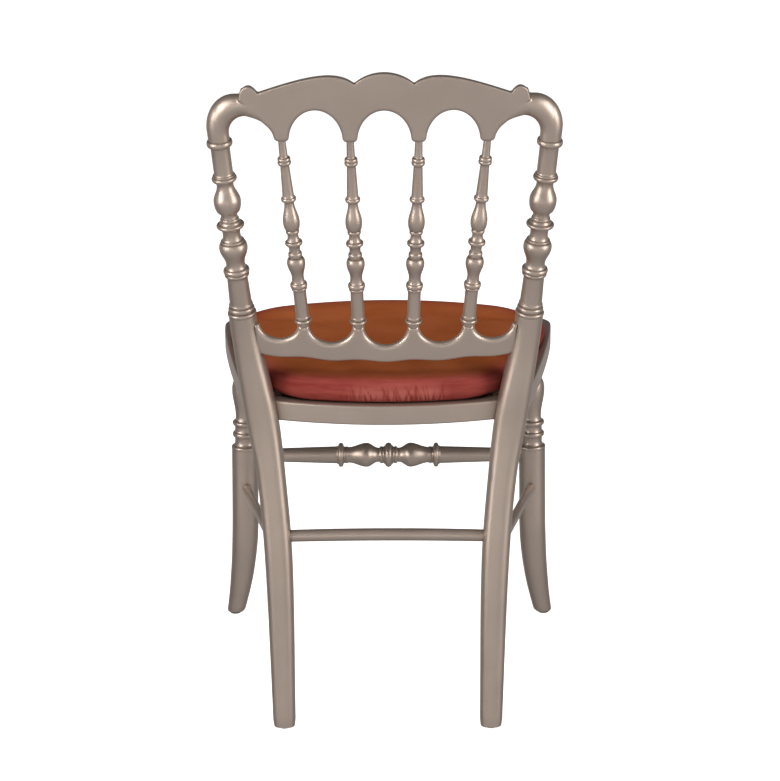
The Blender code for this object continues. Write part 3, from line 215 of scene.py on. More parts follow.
# Front legs and stretchers
FRONT_SPLAY = 0.0155
SABRE_HEIGHT = 0.16
SABRE_OUT = 0.017
SABRE_FORWARD = 0.018
FRONT_SHOULDER = 0.2697
FRONT_SHANK = (
    (0.0, 0.0127), (0.033, 0.0149), (0.064, 0.0169), (0.0946, 0.0182), (0.13, 0.0193), (0.2, 0.0193),
)
FRONT_TURNING = (
    (-0.0040, 0.0192, LINE), (-0.0012, 0.0197, ROUND), (0.0014, 0.0180, ROUND), (0.0085, 0.0145, COVE),
    (0.0153, 0.0161, COVE), (0.0187, 0.0180, ROUND), (0.0221, 0.0161, ROUND), (0.0284, 0.0144, COVE),
    (0.0328, 0.0161, COVE), (0.0359, 0.0180, ROUND), (0.0391, 0.0160, ROUND), (0.0461, 0.0134, COVE),
    (0.0863, 0.0185, WAVE), (0.1030, 0.0122, ROUND), (0.1122, 0.0150, COVE), (0.1160, 0.0166, ROUND),
    (0.1196, 0.0150, ROUND), (0.1262, 0.0135, COVE), (0.1345, 0.0180, COVE), (0.1580, 0.0180, LINE),
)
FRONT_STRETCHER_HEIGHT = 0.2552
FRONT_STRETCHER_END = 0.0090
FRONT_STRETCHER_TURNING = (
    (0.0, 0.0181, LINE), (0.0050, 0.0140, ROUND), (0.0062, 0.0141, LINE), (0.0084, 0.0121, COVE),
    (0.0110, 0.0128, ROUND), (0.0127, 0.0113, ROUND), (0.0150, 0.0106, COVE), (0.0318, 0.0180, WAVE),
    (0.0590, 0.0116, WAVE), (0.0612, 0.0126, ROUND), (0.0634, 0.0120, ROUND), (0.0662, 0.0146, COVE),
    (0.0700, 0.0180, ROUND), (0.0736, 0.0144, ROUND), (0.0752, 0.0136, COVE), (0.0770, 0.0127, COVE),
)
REAR_STRETCHER_HEIGHT = 0.2585
REAR_STRETCHER_RADIUS = 0.0084
REAR_STRETCHER_ARCH = 0.0020
SIDE_STRETCHER_BACK = 0.236
SIDE_STRETCHER_FRONT = 0.208
SIDE_STRETCHER_RADIUS = 0.0065
STRETCHER_HOUSED = 0.010
ROD_TAPER = 0.05

# Seat pad
PAD_BASE = 0.0024
PAD_INSET = 0.012
PAD_REAR_INSET = 0.0075
PAD_CORNER_START = 0.100
PAD_CORNER_KNEE = (0.155, 0.000)
PAD_CORNER_END = (0.172, -0.075)
PAD_FRONT_RADIUS = 0.085
# The side's profile: inset from the plan's edge, and height above the hem
PAD_SIDE = (
    (0.030, 0.0), (0.018, -0.0006), (0.0095, -0.0014), (0.0045, -0.0006), (0.0018, 0.0022), (0.0004, 0.0070),
    (0.0, 0.0130), (0.0006, 0.0185), (0.0022, 0.0232), (0.0052, 0.0273), (0.0100, 0.0306), (0.0170, 0.0329),
    (0.0270, 0.0343),
)
PAD_TOP = PAD_SIDE[-1][1]
PAD_SOFT_FROM = 0.02
PAD_FRONT_START = -0.15
PAD_FRONT_END = -0.34
PAD_FRONT_SOFTER = 1.0
PAD_FRONT_LOWER = 0.12
PAD_FRONT_DOME = 0.27
PAD_CROWN = 0.0362
PAD_CROWN_STEPS = 20
PAD_CORNER = Vector((0.150, -0.030))
PAD_CORNER_REACH = 0.06
PAD_CORNER_LIFT = 0.004
# Height at which the side's painted sheen, redder than the top, has faded into the top, and over how much
# height it does
SHEEN_BAND_TOP = 0.0345
SHEEN_BAND_EASE = 0.006
TUCKS = 40
TUCK_FROM = -0.088
TUCK_TO = 0.060
TUCK_DEEP = 0.0012
TUCK_BACK = -0.02
TUCK_SEED = 7
TUCK_SPOTS = (0.15, 0.85)
TUCK_WIDTHS = (0.0008, 0.0016)
TUCK_HEIGHTS = (0.010, 0.031)
TUCK_LEANS = (-0.5, 0.5)
TUCK_DEPTHS = (0.4, 1.0)
TUCK_REACH = 3
TUCK_FADE = 0.8
TUCK_EASE = 0.03
TUCK_TOP = 0.030
TUCK_TOP_EASE = 0.020
# The mark of plain cloth, how far a ridge stands over it, and how far the deepest fold lies under the ridge;
# the mark paints highlights on ridges and shade in folds
CLOTH_PLAIN = 0.5
CLOTH_RIDGE = 0.4
CLOTH_FOLD = 0.9

# Colours
PAINT_DARK = (0.500, 0.408, 0.346)
PAINT_LIGHT = (0.570, 0.468, 0.400)
PAINT_FLAKE = (0.68, 0.57, 0.49)
# Painted shade that darkens the paint in grooves and recesses
PAINT_GROOVE_SHADE = (0.16, 0.120, 0.092)
TOP_DARK = (0.330, 0.081, 0.022)
TOP_LIGHT = (0.425, 0.121, 0.041)
# The pad side's colours, which hold a painted sheen with streaks
SHEEN_SIDE_DARK = (0.200, 0.031, 0.025)
SHEEN_SIDE_LIGHT = (0.308, 0.066, 0.055)
# Painted highlight on the gathers' ridges and painted shade in their folds
RIDGE_HIGHLIGHT = (0.48, 0.15, 0.125)
FOLD_SHADE = (0.17, 0.020, 0.015)
WEAVE_DARK = (0.10, 0.018, 0.008)
SHEEN = (0.85, 0.42, 0.30)
FLOOR_DARK = (0.86, 0.86, 0.86)
FLOOR_LIGHT = (0.88, 0.88, 0.88)
WHITE = (1, 1, 1)

# Photograph's camera
CAMERA_PLACE = (-0.0248, 3.0604, 1.3876)
CAMERA_TURN = (73.082, 0.265, -179.707)
CAMERA_LENS = 112.12
CAMERA_SENSOR = 36

# Studio: the room is bright along ROOM_BRIGHT, and where ROOM_FLOOR and ROOM_AHEAD are both high. These two
# hold a direction and what is added to the distance along it
ROOM_BRIGHT = (-0.18, 0.86, -0.48)
ROOM_FLOOR = ((0, 0, -3.86), 0.82)
ROOM_AHEAD = ((0, -1.8, 0), -0.6)
ROOM_SHADES = ((0, 0.03), (0.45, 0.09), (0.72, 0.265), (1, 0.41))
FLOOR_HALF = 25
VIEW_REACH = 60
BOX_COLOUR = (1.0, 0.97, 0.94)
# Boxes of light: name, place, aim, size, power, and whether polished things mirror them
SOFT_BOXES = (
    ("key", (0.3, 2.7, 0.7), (0, 0, 0.6), (1.8, 1.1), 9, False),
    ("low", (0.2, 2.6, 0.35), (0, 0, 0.3), (1.6, 0.5), 2.5, True),
    ("right", (-2.05, 1.2, 1.05), (-0.1, 0.15, 0.7), (1.0, 1.5), 27, True),
    ("left", (1.95, 1.45, 1.15), (0.1, 0.15, 0.7), (1.0, 1.5), 31, True),
    ("top", (0.3, 1.3, 2.6), (0, 0, 0.5), (1.4, 0.8), 32, False),
    ("front", (0.8, -3.0, 2.2), (0, 0, 0.5), (1.8, 1.2), 16, False),
)

REAR_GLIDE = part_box("rear_glide_left")
BACK_LINE = (REAR_GLIDE[0][1] + REAR_GLIDE[1][1]) / 2 - LEG_KEYS[0][1][1]
ONTO_FRAME = Matrix.Translation((0, BACK_LINE, 0))
SEAT_PLANE = Matrix.Translation((0, 0, SEAT_HEIGHT)) @ Matrix.Rotation(-SEAT_TILT, 4, "X")
COLUMN = Vector((0, 0, 1))
POST_AXIS = Vector((POST_SPLAY, POST_LEAN, 1))
POST_HEAD = POST_FOOT + POST_RISE
BACK_NORMAL = Vector((0, 1, -POST_LEAN)).normalized()
SIDES = (("left", 1), ("right", -1))


# Materials
class Nodes:
    """A material's or world's node tree, with short ways to add and join nodes."""

    def __init__(self, made, shader="Principled BSDF", place="Object"):
        made.use_nodes = True
        self.made = made
        self.tree = made.node_tree
        self.shader = self.tree.nodes[shader]
        self.place = self.add("ShaderNodeTexCoord").outputs[place]

    def add(self, kind, **values):
        node = self.tree.nodes.new(kind)
        for key, value in values.items():
            setattr(node, key, value)
        return node

    def feed(self, socket, value):
        """Joins an output to a socket, or sets the socket to a plain value."""
        if isinstance(value, bpy.types.NodeSocket):
            self.tree.links.new(value, socket)
        elif socket.type == "RGBA":
            socket.default_value = (*value, 1)
        else:
            socket.default_value = value

    def fill(self, node, **values):
        """Feeds a node's inputs, named with _ for a space."""
        for name, value in values.items():
            self.feed(node.inputs[name.replace("_", " ")], value)
        return node

    def set(self, **values):
        self.fill(self.shader, **values)

    def stretched(self, scale):
        """The coordinates, scaled by a factor in each direction."""
        node = self.fill(self.add("ShaderNodeMapping"), Vector=self.place, Scale=scale)
        return node.outputs["Vector"]

    def noise(self, scale, detail=3.0, rough=0.5, place=None):
        node = self.add("ShaderNodeTexNoise")
        self.fill(node, Vector=place or self.place, Scale=scale, Detail=detail, Roughness=rough)
        return node.outputs["Fac"]

    def mark(self, name):
        """A value that the mesh holds at each point."""
        return self.add("ShaderNodeAttribute", attribute_name=name).outputs["Fac"]

    def ramp(self, factor, *stops):
        node = self.fill(self.add("ShaderNodeValToRGB"), Fac=factor)
        band = node.color_ramp
        while len(band.elements) < len(stops):
            band.elements.new(0.5)
        for element, (where, colour) in zip(band.elements, stops):
            element.position = where
            element.color = (*colour, 1)
        return node.outputs["Color"]

    def spread(self, factor, low, high, start=0.0, end=1.0):
        """A value that runs from low to high while the factor runs from start to end."""
        node = self.add("ShaderNodeMapRange")
        self.fill(node, Value=factor, From_Min=start, From_Max=end, To_Min=low, To_Max=high)
        return node.outputs["Result"]

    def mix(self, factor, first, second):
        node = self.add("ShaderNodeMix", data_type="RGBA")
        for i, value in ((0, factor), (6, first), (7, second)):
            self.feed(node.inputs[i], value)
        return node.outputs[2]

    def bump(self, height, strength, distance, normal=None):
        node = self.fill(self.add("ShaderNodeBump"), Height=height, Strength=strength, Distance=distance)
        if normal:
            self.feed(node.inputs["Normal"], normal)
        return node.outputs["Normal"]

    def combine(self, operation, first, second):
        node = self.add("ShaderNodeMath", operation=operation)
        self.feed(node.inputs[0], first)
        self.feed(node.inputs[1], second)
        return node.outputs["Value"]

    def along(self, way, more):
        """How far the coordinates run along a direction, plus a constant."""
        node = self.add("ShaderNodeVectorMath", operation="DOT_PRODUCT")
        self.feed(node.inputs[0], self.place)
        self.feed(node.inputs[1], way)
        return self.combine("ADD", node.outputs["Value"], more)


def material(name):
    return Nodes(bpy.data.materials.new(name))


def pewter_paint():
    """Satin metallic paint: fine flake, faint brush marks, and painted shade that darkens the grooves."""
    n = material("pewter_paint")
    flake = n.noise(2600, 1.0)
    cloud = n.noise(9, 4.0, 0.6)
    brush = n.noise(60, 3.0, 0.6, n.stretched((6, 6, 0.5)))
    groove_shade = n.fill(n.add("ShaderNodeAmbientOcclusion", samples=6), Distance=0.006).outputs["AO"]
    tone = n.ramp(cloud, (0.3, PAINT_DARK), (0.7, PAINT_LIGHT))
    tone = n.mix(n.spread(flake, 0.0, 0.35, 0.45, 0.75), tone, PAINT_FLAKE)
    # Painted shade: ambient occlusion darkens the paint's colour in grooves and recesses
    tone = n.mix(n.spread(groove_shade, 1.0, 0.0, 0.25, 0.85), tone, PAINT_GROOVE_SHADE)
    skin = n.bump(n.noise(420, 2.0), 0.06, 0.0004)
    skin = n.bump(brush, 0.06, 0.0006, skin)
    n.set(Base_Color=tone, Metallic=0.84, Normal=skin)
    n.set(Roughness=n.spread(n.noise(35, 4.0, 0.65), 0.37, 0.47))
    n.set(Coat_Weight=0.12, Coat_Roughness=0.30)
    return n.made


def satin():
    """The pad's cover: rust satin with a fine weave, a painted sheen that makes its side redder than its
    top, and painted highlights and shade on its gathers.
    """
    n = material("rust_cover")
    sheen_streak = n.noise(14, 4.0, 0.6, n.stretched((1, 1, 9)))
    cloud = n.noise(11, 3.0, 0.55)
    gather_shading = n.mark("gather_shading")
    weave = n.add("ShaderNodeTexWave", bands_direction="DIAGONAL")
    weave = n.fill(weave, Vector=n.place, Scale=700, Distortion=1.5).outputs["Fac"]
    top = n.ramp(cloud, (0.3, TOP_DARK), (0.7, TOP_LIGHT))
    # Painted sheen: the side gets a redder, streaked colour than the top, standing in for light on the satin
    side = n.ramp(sheen_streak, (0.3, SHEEN_SIDE_DARK), (0.7, SHEEN_SIDE_LIGHT))
    tone = n.mix(n.mark("side"), top, side)
    # Painted highlight on the gathers' ridges and painted shade in their folds
    tone = n.mix(n.spread(gather_shading, 0.0, 0.65, CLOTH_PLAIN, 1.0), tone, RIDGE_HIGHLIGHT)
    tone = n.mix(n.spread(gather_shading, 0.25, 0.0, 0.0, CLOTH_PLAIN), tone, FOLD_SHADE)
    tone = n.mix(n.spread(weave, 0.0, 0.16), tone, WEAVE_DARK)
    skin = n.bump(weave, 0.10, 0.0002)
    skin = n.bump(n.noise(45, 3.0), 0.16, 0.0016, skin)
    n.set(Base_Color=tone, Normal=skin, Roughness=n.spread(cloud, 0.44, 0.58))
    n.set(Sheen_Weight=0.02, Sheen_Roughness=0.4, Sheen_Tint=SHEEN, Specular_IOR_Level=0.0)
    return n.made


def grained(name, dark, light, scale, rough):
    """Bare or stained wood with grain along X."""
    n = material(name)
    grain = n.noise(scale, 6.0, 0.62, n.stretched((0.08, 1, 1)))
    pores = n.noise(scale * 9, 2.0, 0.5, n.stretched((0.05, 1, 1)))
    tone = n.ramp(grain, (0.32, dark), (0.68, light))
    tone = n.mix(n.spread(pores, 0.0, 0.4, 0.55, 0.75), tone, tuple(0.45 * value for value in dark))
    n.set(Base_Color=tone, Normal=n.bump(pores, 0.25, 0.0003))
    n.set(Roughness=n.spread(grain, rough - 0.08, rough + 0.08))
    return n.made


def speckled(name, dark, light, scale, rough, metal=0.0, bump=0.2):
    """A fine even surface, such as zinc plate, moulded plastic or felted cloth."""
    n = material(name)
    grain = n.noise(scale, 3.0, 0.6)
    n.set(Base_Color=n.ramp(grain, (0.3, dark), (0.7, light)), Metallic=metal)
    n.set(Roughness=n.spread(grain, rough - 0.06, rough + 0.06), Normal=n.bump(grain, bump, 0.0004))
    return n.made


FINISHES = {
    "pewter_paint": pewter_paint(),
    "rust_cover": satin(),
    "plywood": grained("plywood", (0.030, 0.020, 0.014), (0.062, 0.044, 0.031), 90, 0.62),
    "beech": grained("beech", (0.34, 0.20, 0.105), (0.52, 0.35, 0.205), 70, 0.66),
    "steel": speckled("steel", (0.44, 0.44, 0.45), (0.62, 0.62, 0.63), 900, 0.34, 1.0, 0.08),
    "black_plastic": speckled("black_plastic", (0.012, 0.012, 0.012), (0.024, 0.024, 0.024), 1500, 0.5),
    "black_cloth": speckled(
        "black_cloth", (0.007, 0.0065, 0.006), (0.026, 0.024, 0.022), 2200, 0.92, bump=0.7
    ),
    "foam": speckled("foam", (0.55, 0.48, 0.32), (0.75, 0.68, 0.48), 600, 0.95, bump=0.5),
}


# Building blocks
def piece(name, mesh, body, slot, *nodes):
    """A mesh as a piece of the chair that stands for some of the frame's nodes."""
    mesh.transform(ONTO_FRAME)
    mesh.materials.clear()
    mesh.materials.append(FINISHES[slot])
    made = bpy.data.objects.new(name, mesh)
    bpy.context.scene.collection.objects.link(made)
    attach(made, body)
    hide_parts(*nodes)
    return made


def wood(name, mesh):
    """A painted piece that stands for the node of its own name."""
    return piece(name, mesh, "chair", "pewter_paint", name)


def loft(rings, sharp=40):
    """A closed mesh through rings of equally many points."""
    shape = bmesh.new()
    loops = [[shape.verts.new(point) for point in ring] for ring in rings]
    for lower, upper in zip(loops, loops[1:]):
        for i in range(len(lower)):
            shape.faces.new((lower[i - 1], lower[i], upper[i], upper[i - 1]))
    shape.faces.new(loops[0])
    shape.faces.new(loops[-1])
    bmesh.ops.recalc_face_normals(shape, faces=shape.faces)
    mesh = bpy.data.meshes.new("loft")
    shape.to_mesh(mesh)
    shape.free()
    mesh.shade_smooth()
    mesh.set_sharp_from_angle(angle=math.radians(sharp))
    return mesh


def both_halves(half):
    """A closed outline from its left half, which starts and ends on the middle line."""
    return half + [(-x, z) for x, z in reversed(half[1:-1])]


def settled(made):
    """An object's mesh with its modifiers applied. The object itself is removed."""
    bpy.context.scene.collection.objects.link(made)
    bpy.context.view_layer.update()
    mesh = bpy.data.meshes.new_from_object(made.evaluated_get(bpy.context.evaluated_depsgraph_get()))
    bpy.data.objects.remove(made)
    mesh.shade_smooth()
    return mesh


def plate(outline, low, high, edge):
    """A closed flat mesh in XY with rounded edges, from its outline."""
    curve = bpy.data.curves.new("plate", "CURVE")
    curve.dimensions = "2D"
    curve.fill_mode = "BOTH"
    curve.extrude = (high - low) / 2 - edge
    curve.bevel_depth = edge
    curve.bevel_resolution = EDGE_STEPS
    curve.offset = -edge
    spline = curve.splines.new("POLY")
    spline.points.add(len(outline) - 1)
    spline.use_cyclic_u = True
    for point, (x, y) in zip(spline.points, outline):
        point.co = (x, y, 0, 1)
    mesh = settled(bpy.data.objects.new("plate", curve))
    shape = bmesh.new()
    shape.from_mesh(mesh)
    bmesh.ops.remove_doubles(shape, verts=shape.verts, dist=WELD)
    bmesh.ops.recalc_face_normals(shape, faces=shape.faces)
    bmesh.ops.translate(shape, verts=shape.verts, vec=(0, 0, (low + high) / 2))
    shape.to_mesh(mesh)
    shape.free()
    return mesh


def carved(solids, passes):
    """Closed meshes melted into one, with edges softened as thick paint softens them."""
    shape = bmesh.new()
    for mesh in solids:
        shape.from_mesh(mesh)
    joined = bpy.data.meshes.new("carved")
    shape.to_mesh(joined)
    shape.free()
    block = bpy.data.objects.new("carved", joined)
    remesh = block.modifiers.new("melt", "REMESH")
    remesh.mode = "VOXEL"
    remesh.voxel_size = CARVING_VOXEL
    soften = block.modifiers.new("soften", "SMOOTH")
    soften.factor = CARVING_FACTOR
    soften.iterations = passes
    return settled(block)


def onto_back(mesh):
    """Bends a flat mesh of (across, height, out) onto the leaning and bowed back."""
    for vertex in mesh.vertices:
        x, z, out = vertex.co
        vertex.co = Vector((x, back_y(x, z), z)) + BACK_NORMAL * out
    mesh.update()
    return mesh


def oval(centre, across, deep, wide_by, deep_by, count, squareness=2.0):
    """Points round a superellipse in the plane of two directions."""
    points = []
    for i in range(count):
        angle = math.tau * (i + 0.5) / count
        c, s = math.cos(angle), math.sin(angle)
        u = math.copysign(abs(c) ** (2 / squareness), c) * wide_by
        v = math.copysign(abs(s) ** (2 / squareness), s) * deep_by
        points.append(centre + across * u + deep * v)
    return points


def square_to(tangent):
    """Two directions square to a tangent, the first as near X as can be."""
    tangent = tangent.normalized()
    aim = Vector((1, 0, 0)) if abs(tangent.x) < 0.9 else Vector((0, 1, 0))
    across = (aim - tangent * tangent.dot(aim)).normalized()
    return across, tangent.cross(across)


def turning(keys, stretch=1.0):
    """A turned profile's (height, radius) points, with true quarter rounds and coves."""
    points = [(keys[0][0] * stretch, keys[0][1])]
    for (low, start, _), (high, end, bend) in zip(keys, keys[1:]):
        count = 1 if bend == LINE else TURNING_STEPS
        for i in range(1, count + 1):
            t = i / count
            rise, swell = t, t
            if bend == WAVE:
                swell = (1 - math.cos(math.pi * t)) / 2
            elif bend != LINE:
                early, late = math.sin(math.pi * t / 2), 1 - math.cos(math.pi * t / 2)
                rise, swell = (late, early) if (bend == ROUND) == (end > start) else (early, late)
            points.append(((low + (high - low) * rise) * stretch, start + (end - start) * swell))
    return points


def spun(start, end, profile):
    """A turned mesh along a line, from (distance, radius) points."""
    way = (end - start).normalized()
    across, deep = square_to(way)
    return loft([oval(start + way * far, across, deep, r, r, TURNED_SIDES) for far, r in profile])


def mirrored(mesh, side):
    """The mesh itself on the left, and its mirror image on the right."""
    if side < 0:
        mesh.transform(Matrix.Scale(-1, 4, (1, 0, 0)))
        mesh.flip_normals()
    return mesh


def bezier(a, b, c, d, t):
    s = 1 - t
    return a * s**3 + b * 3 * s * s * t + c * 3 * s * t * t + d * t**3


def smooth(t):
    """Eases from 0 to 1."""
    t = min(1, max(0, t))
    return t * t * (3 - 2 * t)


def through(marks, steps):
    """Points on a smooth curve through marks in a plane."""
    found = []
    for i in range(len(marks) - 1):
        start, end = marks[i], marks[i + 1]
        leave = (end - marks[max(i - 1, 0)]) / 6
        arrive = (marks[min(i + 2, len(marks) - 1)] - start) / 6
        found += [tuple(bezier(start, start + leave, end - arrive, end, j / steps)) for j in range(steps)]
    return found + [tuple(marks[-1])]


def hermite(keys, height, last_slope):
    """Values on a smooth curve through (height, values) keys."""

    def slope(i):
        if i == len(keys) - 1:
            return last_slope
        before, after = keys[max(i - 1, 0)], keys[i + 1]
        return [(b - a) / (after[0] - before[0]) for a, b in zip(before[1], after[1])]

    i = 0
    while i < len(keys) - 2 and height > keys[i + 1][0]:
        i += 1
    (low, start), (high, end) = keys[i], keys[i + 1]
    span = high - low
    t = (height - low) / span
    return [
        (2 * t**3 - 3 * t**2 + 1) * a
        + (t**3 - 2 * t**2 + t) * span * m
        + (3 * t**2 - 2 * t**3) * b
        + (t**3 - t**2) * span * n
        for a, m, b, n in zip(start, slope(i), end, slope(i + 1))
    ]


# The back
def post_x(z):
    return POST_X + POST_SPLAY * (z - POST_FOOT)


def back_y(x, z):
    """The middle of the back at a point: it leans with the posts and bows back between them."""
    return POST_Y + POST_LEAN * (z - POST_FOOT) + BACK_BOW * max(0, 1 - (x / post_x(z)) ** 2)


def leg_at(z):
    return hermite(LEG_KEYS, z, (POST_SPLAY, POST_LEAN, 0, 0, 0))


def rear_leg(name, side):
    """Sabre leg, block and turned post in one piece."""
    count, steps, step = 48, 70, 0.001
    rings = []
    for i in range(steps):
        z = SOLE + (POST_FOOT - SOLE) * i / steps
        x, y, wide, deep, squareness = leg_at(z)
        ahead, behind = leg_at(z + step), leg_at(z - step)
        tangent = COLUMN if i == 0 else Vector((ahead[0] - behind[0], ahead[1] - behind[1], 2 * step))
        across, deep_way = square_to(tangent)
        edges = FOOT_RINGS if i == 0 else ((0, 0),)
        for shrink, lift in edges:
            centre = Vector((x, y, z + lift))
            rings.append(oval(centre, across, deep_way, wide - shrink, deep - shrink, count, squareness))
    foot = Vector((POST_X, POST_Y, POST_FOOT))
    across, deep_way = square_to(POST_AXIS)
    profile = turning(POST_TURNING, POST_RISE / POST_TURNING[-1][0])
    profile += [(POST_RISE, POST_SPIGOT_RADIUS), (POST_RISE + POST_SPIGOT_LENGTH, POST_SPIGOT_RADIUS)]
    rings += [oval(foot + POST_AXIS * h, across, deep_way, r, r, count) for h, r in profile]
    wood(name, mirrored(loft(rings), side))


# Crest rail, drawn flat as (across, height)
BEND_START = POST_HEAD + ELBOW_RISE
BEND_LEAN = math.atan(POST_SPLAY)
BEND_X = post_x(BEND_START) - ELBOW_BEND * math.cos(BEND_LEAN)
BEND_Z = BEND_START + ELBOW_BEND * math.sin(BEND_LEAN)
TUBE_Z = BEND_Z + ELBOW_BEND
CREST_TOP = TUBE_Z + ELBOW_RADIUS + CREST_RISE
KNOB_TOP = TUBE_Z + ELBOW_RADIUS + KNOB_STAND


def spread_out(pitch):
    return [pitch * (i - (SPINDLES - 1) / 2) for i in range(SPINDLES)]


ARCH_X = post_x(TUBE_Z - ELBOW_RADIUS - ELBOW_INNER[1]) - ELBOW_RADIUS - ELBOW_INNER[0]
OUTER_REACH = ARCH_X - spread_out(SPINDLE_PITCH_TOP)[-1] - PENDANT_HALF_WIDTH


def outer_arch(x):
    """Height of the arch beside the post, which the elbow's lower side begins."""
    low, high = POST_HEAD, TUBE_Z - ELBOW_RADIUS - CREST_LIFT
    return low + (high - low) * math.sqrt(max(0, 1 - (max(0, ARCH_X - x) / OUTER_REACH) ** 2))


def crest_half():
    """The plate's outline on the left, from the middle of its top round to the middle of its lower edge."""
    steps = 24
    radius = (HUMP_HALF_WIDTH**2 + HUMP_DROP**2) / (2 * HUMP_DROP)
    points = []
    for i in range(steps):
        x = HUMP_HALF_WIDTH * i / steps
        points.append((x, CREST_TOP - radius + math.sqrt(radius**2 - x**2)))
    knob = [Vector((BEND_X + x, KNOB_TOP + z)) for x, z in KNOB_EDGE]
    for i in range(steps):
        x = bezier(HUMP_HALF_WIDTH, SHOULDER_RISE_X, SHOULDER_FALL_X, knob[0].x, i / steps)
        rise, fall = CREST_TOP + SHOULDER_RISE, CREST_TOP + SHOULDER_FALL
        points.append((x, bezier(CREST_TOP - HUMP_DROP, rise, fall, knob[0].y, i / steps)))
    points += through(knob, steps=6)
    inner, outer = spread_out(SPINDLE_PITCH_TOP)[SPINDLES // 2 :]
    for i in range(1, steps - 1):
        x = ARCH_X - OUTER_REACH * math.sin(math.pi / 2 * i / steps)
        if x < BEND_X - PLATE_REACH:
            points.append((x, outer_arch(x)))
    points += pendant(outer)
    half = SPINDLE_PITCH_TOP / 2 - PENDANT_HALF_WIDTH
    for i in range(3, 2 * steps - 2):
        angle = math.pi * i / (2 * steps)
        x = (inner + outer) / 2 + half * math.cos(angle)
        points.append((x, POST_HEAD + ARCH_RISE * math.sin(angle)))
    points += pendant(inner)
    for i in range(2, steps + 1):
        angle = math.pi / 2 * i / steps
        points.append((half * math.cos(angle), POST_HEAD + ARCH_RISE * math.sin(angle)))
    return points


def pendant(x):
    """The foot of a pendant, from its outer to its inner side."""
    near, far = PENDANT_HALF_WIDTH, PENDANT_HALF_WIDTH - PENDANT_CORNER
    low, high = POST_HEAD, POST_HEAD + PENDANT_CORNER
    return [(x + near, high), (x + far, low), (x - far, low), (x - near, high)]


def elbow_curve(radii, way, t):
    """A point on the elbow's outer (way 1) or inner (way -1) side, t from the crest down to the post."""
    across, up = radii
    top = TUBE_Z + way * ELBOW_RADIUS
    middle = Vector((post_x(top - up) + way * ELBOW_RADIUS - across, top - up, 0))
    angle = math.pi / 2 - (math.pi / 2 + POST_SPLAY * up / across) * t
    return middle + Vector((across * math.cos(angle), up * math.sin(angle), 0))


def elbow(side):
    """The round end of the crest, from its flat start in the plate down onto the post, drawn flat."""
    turns, count, blends = 24, 48, 12
    flat = CREST_HALF + ELBOW_PROUD
    rings = []
    for i in range(blends, 0, -1):
        t = i / blends
        x = ARCH_X - (ELBOW_BLEND - BEND_X + ARCH_X) * t
        low = outer_arch(x) + CREST_LIFT + ELBOW_ROOT_RAISE * t
        high = TUBE_Z + ELBOW_RADIUS
        middle = Vector((x, (low + high) / 2, 0))
        deep = flat - ELBOW_DIVE * smooth((t - ELBOW_DIVE_START) / ELBOW_DIVE_RUN)
        squareness = 2 + ELBOW_ROOT_SQUARE * t
        rings.append(oval(middle, Vector((0, 1, 0)), COLUMN, (high - low) / 2, deep, count, squareness))
    for i in range(turns + 1):
        t = i / turns
        outer = elbow_curve(ELBOW_OUTER, 1, t)
        inner = elbow_curve(ELBOW_INNER, -1, t)
        across = outer - inner
        deep = flat + (ELBOW_RADIUS - flat) * smooth(2 * t)
        rings.append(oval((outer + inner) / 2, across.normalized(), COLUMN, across.length / 2, deep, count))
    foot_z = POST_HEAD - ELBOW_OVERLAP
    foot = Vector((post_x(foot_z), foot_z, 0))
    across = Vector((math.cos(BEND_LEAN), -math.sin(BEND_LEAN), 0))
    rings.append(oval(foot, across, COLUMN, ELBOW_RADIUS, ELBOW_RADIUS, count))
    return mirrored(loft(rings), side)


def round_over(mesh, rim, half, radius, reach):
    """Rounds a flat rail's top over to the front, so that its crisp edge is the one at the back."""
    across, height = zip(*rim)
    for vertex in mesh.vertices:
        x, z, out = vertex.co
        below = numpy.interp(abs(x), across, height) - z
        weight = smooth(1 - below / reach) * smooth((across[-1] + ROUND_PAST - abs(x)) / ROUND_FADE)
        deep = min(max(0, half - out), radius)
        vertex.co.y -= weight * (radius - math.sqrt(radius**2 - deep**2))
    return mesh


def crest_rail():
    half = [(x, z + CREST_LIFT) for x, z in crest_half()]
    cap_foot = POST_HEAD + CREST_CAP
    cap = [(x, z) for x, z in half if z > cap_foot]
    rim = [(x, z) for x, z in cap if z >= KNOB_TOP + CREST_LIFT - KNOB_RIM]
    cap += [(cap[-1][0] - CREST_HALF, cap_foot), (0, cap_foot)]
    solids = [
        plate(both_halves(half), -CREST_HALF, CREST_HALF, CREST_EDGE),
        plate(both_halves(cap), -CREST_HALF, CREST_HALF, CREST_TOP_EDGE),
        elbow(1),
        elbow(-1),
    ]
    mesh = round_over(carved(solids, CREST_PASSES), rim, CREST_HALF, CREST_FALL, CREST_FALL_REACH)
    wood("crest_rail", onto_back(mesh))


# Lower back rail
PEAK_Z = SEAT_HEIGHT + LOWER_PEAK


def scallops():
    """Middle, half width and depth of the scallops on the left half."""
    places = [place for place in spread_out(SPINDLE_PITCH_FOOT) if place > 0]
    edges = [-places[0]] + places + [LOWER_FACE + LOWER_RUN + PEAK_HALF_WIDTH]
    for start, end, depth in zip(edges, edges[1:], SCALLOP_DEPTHS):
        yield (start + end) / 2, (end - start) / 2 - PEAK_HALF_WIDTH, depth


def lower_top(end):
    """The lower rail's scalloped edge on the left half, from the middle out."""
    steps = 18
    points = []
    for middle, half, depth in scallops():
        for i in range(-steps, steps + 1):
            angle = math.pi / 2 * i / steps
            x = middle + half * math.sin(angle)
            if 0 <= x < end:
                points.append((x, PEAK_Z + LOWER_LIFT - depth * math.cos(angle)))
    return points + [(end, PEAK_Z + LOWER_LIFT + LOWER_END_RISE)]


